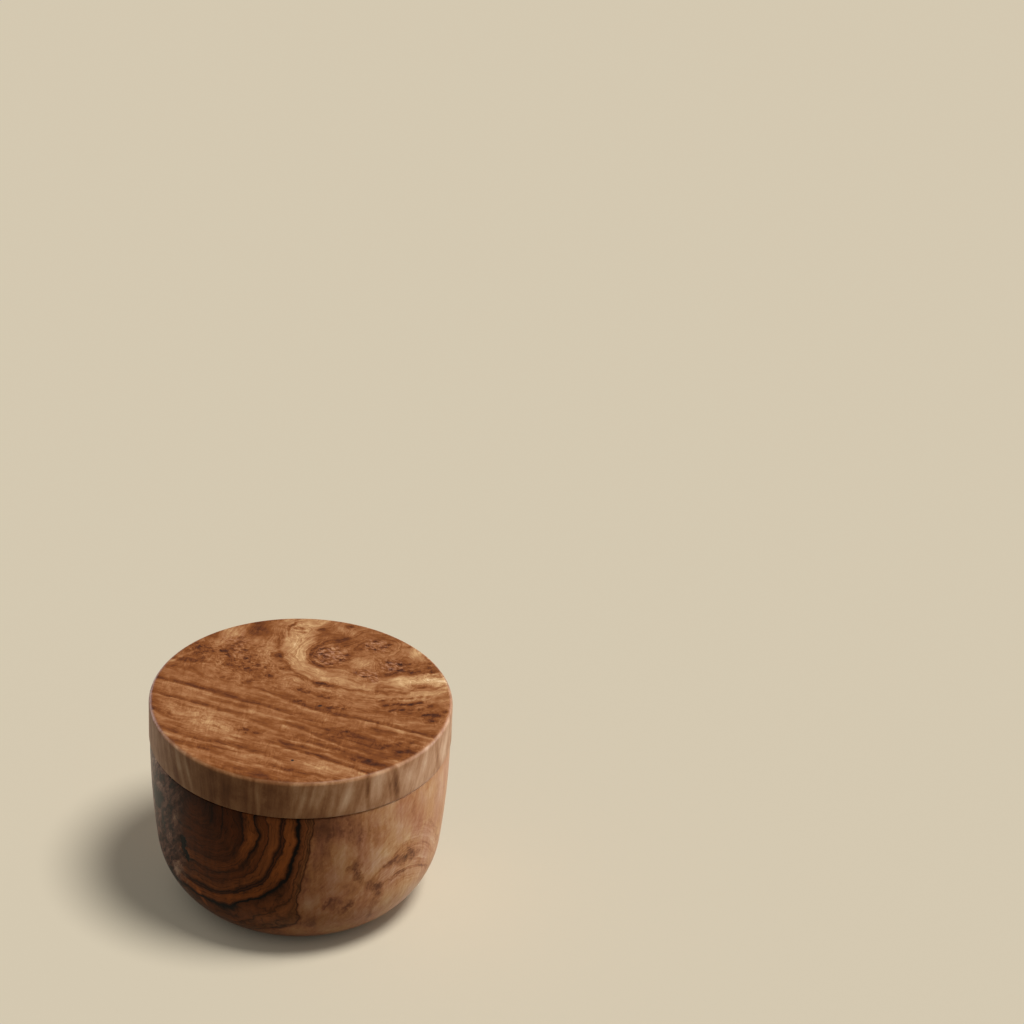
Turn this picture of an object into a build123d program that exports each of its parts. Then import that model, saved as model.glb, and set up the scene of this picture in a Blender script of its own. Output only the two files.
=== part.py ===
from build123d import *
import os
from math import sqrt

# A turned olive-wood salt box. A thick round bowl holds the salt, and a flat round lid lies
# on its rim, flush all round. The lid swivels sideways about an upright steel pin that is
# hidden in the wall at the back, and a pair of disc magnets at the front holds it shut.
#
# Millimetres, +Z up. The origin is the middle of the foot, and the front of the box faces -Y.

# ---- Driving dimensions ----------------------------------------------------------------

# Bowl, outside
rim_radius = 49.7
bowl_height = 59.0  # from the foot to the rim
wall_curve_radius = 320.0  # the long, nearly straight curve of the upper wall
turn_in_height = 21.5  # where that wall rolls into the round bottom
foot_radius = 32.3  # the flat that the box stands on
rim_edge_bevel = 0.4

# Bowl, hollow
rim_wall = 11.0  # wide enough for the bush and the magnet
floor_thickness = 8.0
hollow_draft = 2.0  # how much closer to the axis the hollow's wall comes at its floor
hollow_corner_radius = 14.0
mouth_edge_bevel = 0.8

# Lid
lid_overhang = 0.3  # the lid is a shade wider than the rim
lid_thickness = 13.85
lid_top_edge_radius = 1.4
lid_bottom_edge_bevel = 0.4

# Pivot: a dowel pin pressed into the lid, which turns in a flanged bush in the bowl's wall
pin_radius = 2.0
pin_in_lid = 9.5
pin_in_bowl = 14.5
pin_end_chamfer = 0.4
pin_running_clearance = 0.05
bush_wall = 1.0
bush_length = 16.0
bush_end_chamfer = 0.3
flange_width = 0.9  # past the bush's own wall
flange_thickness = 0.8
flange_stands_proud = 0.15  # above the rim, so that the lid turns on metal and clears the wood

# Magnets: one in the rim and one in the lid, face to face
magnet_radius = 3.0
magnet_thickness = 3.0
magnet_edge_bevel = 0.25
magnet_recess = 0.1  # how deep its face lies below the wood

# Seats of the pressed and glued pieces
glue_clearance = 0.03  # radial
seat_relief = 0.5  # what a blind hole is deeper than the piece in it

# ---- Sizes that follow -----------------------------------------------------------------

lid_radius = rim_radius + lid_overhang
lid_base = bowl_height + flange_stands_proud
mouth_radius = rim_radius - rim_wall
wall_middle_radius = rim_radius - rim_wall / 2
pivot_y = wall_middle_radius
magnet_y = -wall_middle_radius
bore_radius = pin_radius + pin_running_clearance
bush_radius = bore_radius + bush_wall
flange_radius = bush_radius + flange_width

# The upper wall is an arc that stands upright where the rim's bevel ends. It ends at the
# turn-in height, this far from the axis and running in this direction.
wall_top = bowl_height - rim_edge_bevel
wall_drop = wall_top - turn_in_height
wall_arc_reach = sqrt(wall_curve_radius**2 - wall_drop**2)
turn_in_radius = rim_radius - wall_curve_radius + wall_arc_reach
turn_in_direction = (-wall_drop, -wall_arc_reach)

# ---- Bowl ------------------------------------------------------------------------------

with BuildPart() as bowl:
    # The turned block: half of its section, spun about the axis.
    with BuildSketch(Plane.XZ):
        with BuildLine():
            wall = RadiusArc(
                (rim_radius, wall_top), (turn_in_radius, turn_in_height), wall_curve_radius
            )
            TangentArc(wall @ 1, (foot_radius, 0), tangent=turn_in_direction)
            Polyline(
                (foot_radius, 0),
                (0, 0),
                (0, bowl_height),
                (rim_radius - rim_edge_bevel, bowl_height),
                (rim_radius, wall_top),
            )
        make_face()
    revolve(axis=Axis.Z)

    # The hollow: a bevelled mouth and a slightly tapered wall that rounds into a flat floor.
    with BuildSketch(Plane.XZ) as hollow_section:
        with BuildLine():
            Polyline(
                (0, bowl_height),
                (mouth_radius + mouth_edge_bevel, bowl_height),
                (mouth_radius, bowl_height - mouth_edge_bevel),
                (mouth_radius - hollow_draft, floor_thickness),
                (0, floor_thickness),
                close=True,
            )
        make_face()
        floor_corner = hollow_section.vertices().group_by(Axis.Y)[0].sort_by(Axis.X)[-1]
        fillet(floor_corner, hollow_corner_radius)
    revolve(axis=Axis.Z, mode=Mode.SUBTRACT)

    # The stepped seat of the bush at the back, and the pocket of the magnet at the front.
    with Locations((0, pivot_y, bowl_height)):
        CounterBoreHole(
            radius=bush_radius + glue_clearance,
            counter_bore_radius=flange_radius + glue_clearance,
            counter_bore_depth=flange_thickness - flange_stands_proud,
            depth=bush_length - flange_stands_proud + seat_relief,
        )
    with Locations((0, magnet_y, bowl_height)):
        Hole(magnet_radius + glue_clearance, depth=magnet_thickness + magnet_recess)

# ---- Lid -------------------------------------------------------------------------------

with BuildPart() as lid:
    with BuildSketch(Plane.XY.offset(lid_base)):
        Circle(lid_radius)
    extrude(amount=lid_thickness)
    fillet(lid.edges().group_by(Axis.Z)[-1], lid_top_edge_radius)
    chamfer(lid.edges().group_by(Axis.Z)[0], lid_bottom_edge_bevel)

    # Blind seats from below, for the pin and for the magnet.
    face_down = (180, 0, 0)
    with Locations(Location((0, pivot_y, lid_base), face_down)):
        Hole(pin_radius + glue_clearance, depth=pin_in_lid + seat_relief)
    with Locations(Location((0, magnet_y, lid_base), face_down)):
        Hole(magnet_radius + glue_clearance, depth=magnet_thickness + magnet_recess)

# ---- Pivot -----------------------------------------------------------------------------

with BuildPart() as pivot_bush:
    with BuildSketch(Plane.XY.offset(lid_base - bush_length)):
        with Locations((0, pivot_y)):
            Circle(bush_radius)
    extrude(amount=bush_length)
    chamfer(pivot_bush.edges().group_by(Axis.Z)[0], bush_end_chamfer)
    with BuildSketch(Plane.XY.offset(lid_base - flange_thickness)):
        with Locations((0, pivot_y)):
            Circle(flange_radius)
    extrude(amount=flange_thickness)
    with Locations((0, pivot_y, lid_base)):
        Hole(bore_radius)

with BuildPart() as pivot_pin:
    with BuildSketch(Plane.XY.offset(lid_base - pin_in_bowl)):
        with Locations((0, pivot_y)):
            Circle(pin_radius)
    extrude(amount=pin_in_bowl + pin_in_lid)
    chamfer(pivot_pin.edges().filter_by(GeomType.CIRCLE), pin_end_chamfer)

# ---- Magnets ---------------------------------------------------------------------------


def disc_magnet(bottom):
    """A plated disc magnet in the front wall, with its lower face at the height `bottom`."""
    with BuildPart() as magnet:
        with BuildSketch(Plane.XY.offset(bottom)):
            with Locations((0, magnet_y)):
                Circle(magnet_radius)
        extrude(amount=magnet_thickness)
        chamfer(magnet.edges().filter_by(GeomType.CIRCLE), magnet_edge_bevel)
    return magnet


bowl_magnet = disc_magnet(bowl_height - magnet_recess - magnet_thickness)
lid_magnet = disc_magnet(lid_base + magnet_recess)

# ---- Files -----------------------------------------------------------------------------

bowl.part.label = "bowl"
lid.part.label = "lid"
pivot_bush.part.label = "pivot_bush"
pivot_pin.part.label = "pivot_pin"
bowl_magnet.part.label = "bowl_magnet"
lid_magnet.part.label = "lid_magnet"

os.makedirs("parts", exist_ok=True)
for piece in (bowl, lid, pivot_bush, pivot_pin, bowl_magnet, lid_magnet):
    export_step(piece.part, f"parts/{piece.part.label}.step")
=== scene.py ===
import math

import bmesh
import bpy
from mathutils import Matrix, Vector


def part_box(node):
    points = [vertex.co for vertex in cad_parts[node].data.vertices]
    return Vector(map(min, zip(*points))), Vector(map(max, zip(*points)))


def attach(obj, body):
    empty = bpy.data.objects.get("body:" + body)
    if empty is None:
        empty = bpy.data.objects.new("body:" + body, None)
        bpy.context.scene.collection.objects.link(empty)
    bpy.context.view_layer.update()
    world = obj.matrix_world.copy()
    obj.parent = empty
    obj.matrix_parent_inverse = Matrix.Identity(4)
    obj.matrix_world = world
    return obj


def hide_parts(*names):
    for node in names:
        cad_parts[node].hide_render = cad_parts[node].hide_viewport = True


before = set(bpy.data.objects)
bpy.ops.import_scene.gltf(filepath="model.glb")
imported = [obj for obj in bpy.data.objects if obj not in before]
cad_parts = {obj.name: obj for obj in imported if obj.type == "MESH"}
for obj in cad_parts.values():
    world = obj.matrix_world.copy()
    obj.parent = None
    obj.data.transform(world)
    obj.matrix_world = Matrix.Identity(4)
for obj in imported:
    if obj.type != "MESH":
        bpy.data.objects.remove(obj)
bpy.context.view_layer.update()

# %% [markdown]
# # A turned salt box with a swivel lid
# This lesson dresses a small turned box: a round-bottomed bowl and a flat lid, both of olive wood,
# joined by a hidden steel pin that turns in a brass bush, and held shut by two little magnets.
# Everything is in metres, in the frame of the solid model. The origin is the middle of the foot,
# +Z is up and the front is -Y. Lengths are written in millimetres and multiplied by `mm`, because
# that is how a turner would say them.

mm = 0.001


def linear(hex_colour):
    """An sRGB hex colour as the linear numbers that Blender's sockets hold."""
    parts = [int(hex_colour[i : i + 2], 16) / 255 for i in (1, 3, 5)]
    return [p / 12.92 if p <= 0.04045 else ((p + 0.055) / 1.055) ** 2.4 for p in parts] + [1.0]


def add(tree, kind, inputs=(), stops=None, path=None, **settings):
    """Add one node with its settings. `inputs` fills the visible sockets in order, or by name, with
    values, nodes or sockets. `stops` fills a colour ramp and `path` the points of a curve."""
    node = tree.nodes.new(kind)
    for name, value in settings.items():
        setattr(node, name, value)
    seen = [s for s in node.inputs if s.enabled]
    pairs = inputs.items() if isinstance(inputs, dict) else enumerate(inputs)
    for key, value in pairs:
        socket = seen[key] if isinstance(key, int) else node.inputs[key]
        if isinstance(value, bpy.types.Node):
            value = next(s for s in value.outputs if s.enabled)
        if isinstance(value, bpy.types.NodeSocket):
            tree.links.new(value, socket)
        elif value is not None:
            socket.default_value = value
    if stops:
        elements = node.color_ramp.elements
        elements.remove(elements[1])
        elements[0].position, elements[0].color = stops[0]
        for position, colour in stops[1:]:
            elements.new(position).color = colour
    if path:
        curve = node.mapping.curves[0]
        for point, place in zip(curve.points, (path[0], path[-1])):
            point.location = place
        for place in path[1:-1]:
            curve.points.new(*place)
        node.mapping.update()
    return node


# %% [markdown]
# ## The camera
# The camera stands about 1.2 m away, some 35 degrees above the table and as far to the right of the
# box's front, with a long lens, as for a catalogue. It looks past the box, which so comes to lie low
# and to the left in the frame. Its place is built from turns that can be read one by one: round the
# table, out to where it stands, tilt down, and a small roll.

# %% Camera
view_turn = math.radians(30)
stands_at = Vector((66.28, -947.95, 693.27)) * mm
tilt_down = math.radians(29.939)
roll = math.radians(2.898)

camera_data = bpy.data.cameras.new("camera")
camera_data.lens = 120.7
camera_data.sensor_width = 36
camera_data.clip_start = 0.01
camera = bpy.data.objects.new("camera", camera_data)
camera.matrix_world = (
    Matrix.Rotation(view_turn, 4, "Z")
    @ Matrix.Translation(stands_at)
    @ Matrix.Rotation(math.pi / 2 - tilt_down, 4, "X")
    @ Matrix.Rotation(roll, 4, "Z")
)
bpy.context.scene.collection.objects.link(camera)
bpy.context.scene.camera = camera
bpy.context.scene.view_settings.view_transform = "Standard"
print("camera at", [round(c, 3) for c in camera.matrix_world.translation])

# %% [markdown]
# ## The table
# A plain, pale, matt table. A matt paint has no highlight, so the colour stays even as far as the
# horizon, and the box's shadow is the only thing on it. A fifth of what the camera sees is a glow
# of the table's own colour. It keeps the shadow soft, and it fades right under the box, where the
# table sees no sky. For light that bounces up at the box the table is darker, or the round bottom
# would come out too pale.

# %% Table
table_colour, bounce_colour = "#D6CAB2", "#8C8578"
table_half_width = 6.0
table_drop = 0.02 * mm
shadow_reach = 30 * mm
glow_under_box, glow_in_open = 0.02, 0.2
hidden_sky, open_sky = 0.08, 0.5

corners = [(-1, -1), (1, -1), (1, 1), (-1, 1)]
corners = [(x * table_half_width, y * table_half_width, -table_drop) for x, y in corners]
table_mesh = bpy.data.meshes.new("table")
table_mesh.from_pydata(corners, [], [(0, 1, 2, 3)])
table = bpy.data.objects.new("table", table_mesh)
bpy.context.scene.collection.objects.link(table)

table_paint = bpy.data.materials.new("matt_table_paint")
table_paint.use_nodes = True
tree = table_paint.node_tree
tree.nodes.clear()
rays = add(tree, "ShaderNodeLightPath").outputs
seen = add(tree, "ShaderNodeMath", [rays["Is Camera Ray"], rays["Is Glossy Ray"]], operation="MAXIMUM")
seen = add(tree, "ShaderNodeMath", [seen, rays["Is Transmission Ray"]], operation="MAXIMUM")
shade = [seen, linear(bounce_colour), linear(table_colour)]
shade = add(tree, "ShaderNodeMix", shade, data_type="RGBA")
matt = add(tree, "ShaderNodeBsdfDiffuse", {"Color": shade})
glow = add(tree, "ShaderNodeEmission", {"Color": linear(table_colour), "Strength": 1.0})
sky = add(tree, "ShaderNodeAmbientOcclusion", {"Distance": shadow_reach}, samples=8).outputs["AO"]
sky = {"Value": sky, "From Min": hidden_sky, "From Max": open_sky}
sky |= {"To Min": glow_under_box, "To Max": glow_in_open}
sky = add(tree, "ShaderNodeMapRange", sky)
glow_share = add(tree, "ShaderNodeMath", [seen, sky], operation="MULTIPLY")
lit = add(tree, "ShaderNodeMixShader", [glow_share, matt, glow])
add(tree, "ShaderNodeOutputMaterial", {"Surface": lit})
table_mesh.materials.append(table_paint)
print("table:", 2 * table_half_width, "m wide")

# %% [markdown]
# ## Lamps
# A few broad lamps stand in for a studio. The key is high on the right and throws the short, soft
# shadow. Low, wide panels to the right and behind light the right wall, and one on the left lifts
# the far edge. They are a little cool, as from a window. Each lamp is a sun with a wide angle,
# because a sun lights the table evenly. The low lamps are kept off the table by light linking, or
# their long shadows would grey it.

# %% Lamps
lamps = [
    # name, azimuth from the camera's side (+ right), elevation, width, strength, colour
    ("key", 74, 70, 20, 3.07, "#FFFFFF"),
    ("side_panel", 106, 4, 36, 4.3, "#D6E4FF"),
    ("back_panel", 142, 10, 50, 1.1, "#D6E4FF"),
    ("left_panel", -135, 6, 40, 2.2, "#D0DCFF"),
]
not_the_table = bpy.data.collections.new("lit_by_low_lamps")
not_the_table.objects.link(table)
not_the_table.collection_objects[0].light_linking.link_state = "EXCLUDE"
for name, azimuth, elevation, width, strength, hex_colour in lamps:
    data = bpy.data.lights.new(name, "SUN")
    data.energy = strength
    data.color = linear(hex_colour)[:3]
    data.angle = math.radians(width)
    lamp = bpy.data.objects.new(name, data)
    a, e = math.radians(azimuth), math.radians(elevation)
    towards = Vector((math.cos(e) * math.sin(a), -math.cos(e) * math.cos(a), math.sin(e)))
    towards.rotate(Matrix.Rotation(view_turn, 3, "Z"))
    lamp.rotation_euler = towards.to_track_quat("Z", "Y").to_euler()
    bpy.context.scene.collection.objects.link(lamp)
    if name != "key":
        lamp.light_linking.receiver_collection = not_the_table
print("lamps:", [lamp[0] for lamp in lamps])

# %% [markdown]
# ## The room
# What the box reflects is a pale room. So the world shows the table's colour to the camera, a
# share of it to reflections, and only a weak fill to everything else.

# %% World
fill_strength, reflected_share = 0.06, 0.3
world = bpy.data.worlds.new("studio")
bpy.context.scene.world = world
world.use_nodes = True
tree = world.node_tree
tree.nodes.clear()
rays = add(tree, "ShaderNodeLightPath").outputs
reflected = add(tree, "ShaderNodeMath", [rays["Is Glossy Ray"], reflected_share], operation="MULTIPLY")
seen = add(tree, "ShaderNodeMath", [rays["Is Camera Ray"], reflected], operation="MAXIMUM")
seen = add(tree, "ShaderNodeMath", [seen, rays["Is Transmission Ray"]], operation="MAXIMUM")
fill = add(tree, "ShaderNodeBackground", {"Color": (1, 1, 1, 1), "Strength": fill_strength})
room = add(tree, "ShaderNodeBackground", {"Color": linear(table_colour), "Strength": 1.0})
both = add(tree, "ShaderNodeMixShader", [seen, fill, room])
add(tree, "ShaderNodeOutputWorld", {"Surface": both})
print("room:", table_colour, "with a fill of", fill_strength)

# %% [markdown]
# ## Sizes and outlines
# The main sizes come from the solid model. The bowl's wall is a long, gentle arc that rolls into
# the round bottom, and the lid is a flat disc. Every edge is eased, as a turner eases it with fine
# paper: the roundings are small arcs, with a point of flat close by, so that the flats shade flat.
# An outline is a list of (distance from the axis, height) in millimetres, from arcs and straights.


# %% Outline helpers
def round_piece(node):
    """A round node's radius, lowest and highest point, and place before or behind the axis, in mm."""
    low, high = [[round(c / mm, 2) for c in corner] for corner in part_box(node)]
    return high[0], low[2], high[2], round((low[1] + high[1]) / 2, 2)


def arc(centre, radius, start, end, steps):
    """Points on an arc in the outline's plane. Angles are in degrees from the +r side."""
    turn = [math.radians(start + (end - start) * k / steps) for k in range(steps + 1)]
    return [(centre[0] + radius * math.cos(t), centre[1] + radius * math.sin(t)) for t in turn]


def straight(start, end, steps):
    shares = [k / steps for k in range(steps + 1)]
    return [(start[0] + (end[0] - start[0]) * s, start[1] + (end[1] - start[1]) * s) for s in shares]


for node in ("bowl", "lid"):
    print(f"{node}: radius, lowest, highest and place in mm:", round_piece(node))

# %% The bowl's outline
rim_radius, _, bowl_height, _ = round_piece("bowl")
wall_curve_radius, turn_in_height, foot_radius = 320.0, 21.5, 32.3
mouth_radius, hollow_bottom_radius, floor_height, hollow_corner = 38.7, 36.7, 8.0, 14.0
rim_ease, mouth_ease, flat_by_edge = 0.5, 1.0, 0.1

# The wall's arc is centred level with the rim. The bottom's arc touches it at turn_in_height.
wall_centre = (rim_radius - wall_curve_radius, bowl_height)
turn_in = math.asin((bowl_height - turn_in_height) / wall_curve_radius)
touch = (wall_centre[0] + wall_curve_radius * math.cos(turn_in), turn_in_height)
inwards = (-math.cos(turn_in), math.sin(turn_in))
to_foot = (touch[0] - foot_radius, touch[1])
foot_reach = to_foot[0] * inwards[0] + to_foot[1] * inwards[1]
bottom_radius = -(to_foot[0] ** 2 + to_foot[1] ** 2) / (2 * foot_reach)
bottom_centre = (touch[0] + inwards[0] * bottom_radius, touch[1] + inwards[1] * bottom_radius)
foot_angle = math.degrees(math.atan2(-bottom_centre[1], foot_radius - bottom_centre[0]))
wall_top = math.degrees(math.asin(rim_ease / wall_curve_radius))

draft = math.atan2(mouth_radius - hollow_bottom_radius, bowl_height - floor_height)
corner_height = floor_height + hollow_corner
corner_r = hollow_bottom_radius + hollow_corner * math.tan(draft) - hollow_corner
mouth_edge = (mouth_radius + mouth_ease, bowl_height - mouth_ease)
rim_edge = (rim_radius - rim_ease, bowl_height - rim_ease)
bowl_outline = (
    straight((0, floor_height), (corner_r, floor_height), 10)
    + arc((corner_r, corner_height), hollow_corner, -90, -math.degrees(draft), 16)
    + straight((corner_r + hollow_corner, corner_height), (mouth_radius, mouth_edge[1]), 16)
    + arc(mouth_edge, mouth_ease, 180, 90, 8)
    + straight((mouth_edge[0] + flat_by_edge, bowl_height), (rim_edge[0] - flat_by_edge, bowl_height), 4)
    + arc(rim_edge, rim_ease, 90, 0, 8)
    + arc(wall_centre, wall_curve_radius, -wall_top, -math.degrees(turn_in), 16)
    + arc(bottom_centre, bottom_radius, -math.degrees(turn_in), foot_angle, 18)
    + straight((foot_radius - 1.5 * flat_by_edge, 0), (0, 0), 8)
)
print("bowl:", len(bowl_outline), "points, bottom arc of", round(bottom_radius, 2), "mm")

# %% The lid's outline
lid_radius, lid_bottom, lid_top, _ = round_piece("lid")
top_ease, bottom_ease = 1.4, 0.45

side_foot = (lid_radius - bottom_ease, lid_bottom + bottom_ease)
side_head = (lid_radius - top_ease, lid_top - top_ease)
lid_outline = (
    straight((0, lid_bottom), (side_foot[0] - flat_by_edge, lid_bottom), 12)
    + arc(side_foot, bottom_ease, -90, 0, 6)
    + straight((lid_radius, side_foot[1]), (lid_radius, side_head[1]), 6)
    + arc(side_head, top_ease, 0, 90, 10)
    + straight((side_head[0] - 2 * flat_by_edge, lid_top), (0, lid_top), 12)
)
print("lid:", len(lid_outline), "points")

# %% [markdown]
# ## Wood, in general
# Olive wood has no repeating pattern, so a noise texture alone never looks like it. What makes wood
# is its growth field: a number that is the same all along one growth line. The figure is then a
# one-dimensional pattern of dark and pale lines, read at that number, and everything that bends the
# field, such as a knot, bends all lines with it. The field is worked out from Object coordinates,
# so it runs through the piece and comes out right on the top, the wall and in the holes.
# Both woods are drawn in a frame in millimetres, so that the size of each spot, streak and bend is
# a real one.

# %% [markdown]
# ## The lid: olive burl
# The lid was cut where burl meets straight wood. Its far half is burl: a wide swirl with rosettes,
# each a nest of small dark eyes, and a bird's-eye patch. Its near half has straight growth lines
# with one sharp dark edge. Pins of the burl run down through the wood, so the side shows upright
# streaks. The finish is oil, rubbed down: a soft sheen, no film.
# First come the bends. The wood wanders slowly everywhere, and in tight curls where it is burl.
# Marks that are placed one by one are soft patches, each with its own place, size, turn and weight.


# %% Lid wood: the material, and helpers that bend wood and mark it
def new_finish(name):
    material = bpy.data.materials.new(name)
    material.use_nodes = True
    material.node_tree.nodes.clear()
    return material, material.node_tree


def wander(tree, place, scale, size, **noise):
    """A push to and fro, of up to about half of `size` in each direction, in millimetres."""
    cloud = add(tree, "ShaderNodeTexNoise", {"Vector": place, "Scale": scale, **noise})
    push = [cloud.outputs["Color"], (0.5, 0.5, 0.5)]
    push = add(tree, "ShaderNodeVectorMath", push, operation="SUBTRACT")
    return add(tree, "ShaderNodeVectorMath", [push, size], operation="MULTIPLY")


def patches(tree, place, marks, start=0.0, most=None, strongest=False):
    """A sum of soft patches, cut off at `most`, or only the strongest patch at each point. Each mark is
    (x, y, half width, half height, turn in degrees, weight), in the units of `place`, and reaches
    through the whole depth of the wood. The patches get a node group of their own, which keeps the
    tree readable and quick to build."""
    group = bpy.data.node_groups.new("soft_patches", "ShaderNodeTree")
    group.interface.new_socket("Place", in_out="INPUT", socket_type="NodeSocketVector")
    group.interface.new_socket("Start", in_out="INPUT", socket_type="NodeSocketFloat")
    group.interface.new_socket("Sum", in_out="OUTPUT", socket_type="NodeSocketFloat")
    given = add(group, "NodeGroupInput").outputs
    total = given["Start"]
    deep = 1000.0
    for x, y, half_width, half_height, turn, weight in marks:
        own = {"Vector": given["Place"], "Location": (x, y, 0)}
        own |= {"Rotation": (0, 0, math.radians(turn)), "Scale": (half_width, half_height, deep)}
        own = add(group, "ShaderNodeMapping", own, vector_type="TEXTURE")
        soft = add(group, "ShaderNodeTexGradient", [own], gradient_type="SPHERICAL").outputs["Fac"]
        if strongest:
            total = add(group, "ShaderNodeMath", [soft, total], operation="MAXIMUM")
        else:
            total = add(group, "ShaderNodeMath", [soft, weight, total], operation="MULTIPLY_ADD")
    if most is not None:
        total = add(group, "ShaderNodeMath", [total, most], operation="MINIMUM")
    add(group, "NodeGroupOutput", [total])
    return add(tree, "ShaderNodeGroup", {"Place": place, "Start": start}, node_tree=group).outputs["Sum"]


lid_wood, tree = new_finish("oiled_olive_burl")
print("material:", lid_wood.name)

# %% Lid wood: its frame and how it wanders
# The woods' frames are turned to face the main view, so that marks are placed as they are seen.
turn_to_view = -view_turn
grain_turn = math.radians(19)

body = add(tree, "ShaderNodeTexCoord").outputs["Object"]
# u runs along the grain, v across it, and the third coordinate is the depth below the top.
grain_frame = {
    "Vector": body,
    "Location": (0, 0, lid_top),
    "Rotation": (0, 0, turn_to_view + grain_turn),
    "Scale": (1 / mm, 1 / mm, -1 / mm),
}
grain = add(tree, "ShaderNodeMapping", grain_frame)
grain_at = add(tree, "ShaderNodeSeparateXYZ", [grain]).outputs

burl = {"Value": grain_at["Y"], "From Min": -5.0, "From Max": 8.0}
burl = add(tree, "ShaderNodeMapRange", burl, interpolation_type="SMOOTHSTEP")
burl = patches(tree, grain, [(-25, -27, 22, 13, -10, 1.8), (24, -42, 16, 9, 10, 1.0)], burl, most=1.0)
slow_bend = wander(tree, grain, 0.035, (3, 3, 3), Detail=2.0)
tight_size = add(tree, "ShaderNodeMapRange", {"Value": burl, "To Min": 1.2, "To Max": 6.5})
tight_bend = wander(tree, grain, 0.14, tight_size, Detail=3.0, Roughness=0.55)
bend = add(tree, "ShaderNodeVectorMath", [slow_bend, tight_bend], operation="ADD")
bent = add(tree, "ShaderNodeVectorMath", [grain, bend], operation="ADD")
half_bent = add(tree, "ShaderNodeVectorMath", [bend, (0.3, 0.3, 0.3), grain], operation="MULTIPLY_ADD")
print("lid: grain turned", round(math.degrees(grain_turn)), "degrees from the view's side")

# %% [markdown]
# ### The lid's growth field
# Near the front edge the field is simply the distance across the grain, so the lines are straight.
# Behind, it is the distance from the swirl's middle, so they are arcs. Where a rosette grew, the
# field swells, and the lines close round it.

# %% Lid wood: the growth field
swirl_middle, swirl_turn, swirl_stretch = (16.0, 44.0), math.radians(35), 1.35
swirl_frame = {
    "Vector": bent,
    "Location": (*swirl_middle, 0),
    "Rotation": (0, 0, swirl_turn),
    "Scale": (swirl_stretch, 1.0, 8.0),
}
from_swirl = add(tree, "ShaderNodeMapping", swirl_frame, vector_type="TEXTURE")
swirl_far = add(tree, "ShaderNodeVectorMath", [from_swirl], operation="LENGTH").outputs["Value"]
swirl_field = add(tree, "ShaderNodeMath", [swirl_middle[1], swirl_far], operation="SUBTRACT")
bent_v = add(tree, "ShaderNodeSeparateXYZ", [bent]).outputs["Y"]
swirl_share = {"Value": bent_v, "From Min": -10.0, "From Max": 16.0}
swirl_share = add(tree, "ShaderNodeMapRange", swirl_share, interpolation_type="SMOOTHSTEP")
field = add(tree, "ShaderNodeMix", [swirl_share, bent_v, swirl_field], data_type="FLOAT")
swells = [
    (-1.5, 27.0, 15, 15, 0, 26), (10, 40, 13, 11, 0, 14), (21.5, 31, 11, 11, 0, 14),
    (14.5, 21, 10, 8, 0, 9), (3, 10.5, 7, 5, 0, 6), (33.5, 22, 7, 5, 0, 5), (31, 36, 9, 8, 0, 7),
    (-18, 38, 8, 9, 0, 7), (-15, 8, 7, 5, 0, 5), (-12.5, 13.5, 6, 5, 0, 5), (-17, 21, 7, 6, 0, 6),
    (-27, 15, 14, 9, 0, 6),
]
field = patches(tree, half_bent, swells, field)
print("lid: swells in the field:", len(swells))

# %% [markdown]
# ### Bands and growth lines
# Some growth lines catch the eye, so they are listed one by one. Round the swirl they are bands: a
# colour ramp, read by the distance from the swirl's middle. Across the near half they are lines
# that run from side to side. Each has a sharp dark edge, with a pale line on its near side, and
# fades on the other, as the late wood of one year ends sharply against the next.


# %% Lid wood: the bands round the swirl
def grey(tone):
    return (tone, tone, tone, 1)


bands = [
    # distance from the swirl's middle, and the tone there, where 0.5 changes nothing
    (0, 0.5), (13, 0.5), (16.5, 0.42), (19.5, 0.33), (21.3, 0.55), (22.6, 0.72), (25.5, 0.86),
    (28.6, 0.66), (29.8, 0.38), (31.0, 0.60), (33.0, 0.70), (35.0, 0.56), (36.4, 0.36), (38.0, 0.5),
    (48, 0.5),
]
widest_band = bands[-1][0]
banded_places = [
    (-14, 30, 14, 34, 10, 1.6), (6, 12, 22, 12, 0, 1.3), (34, 22, 26, 17, 30, 2.0),
    (22, 16, 14, 9, 10, 0.9),
]
band = add(tree, "ShaderNodeMath", [swirl_far, 1 / widest_band], operation="MULTIPLY")
stops = [(far / widest_band, grey(tone)) for far, tone in bands]
band = add(tree, "ShaderNodeValToRGB", [band], stops=stops)
band = add(tree, "ShaderNodeMath", [band, 0.5], operation="SUBTRACT")
banded = patches(tree, grain, banded_places, most=1.0)
band = add(tree, "ShaderNodeMath", [band, banded], operation="MULTIPLY")
print("lid:", len(bands), "stops in the bands")

# %% Lid wood: growth lines, given one by one
half_side, pale_edge = lid_radius, 2.2


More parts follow.
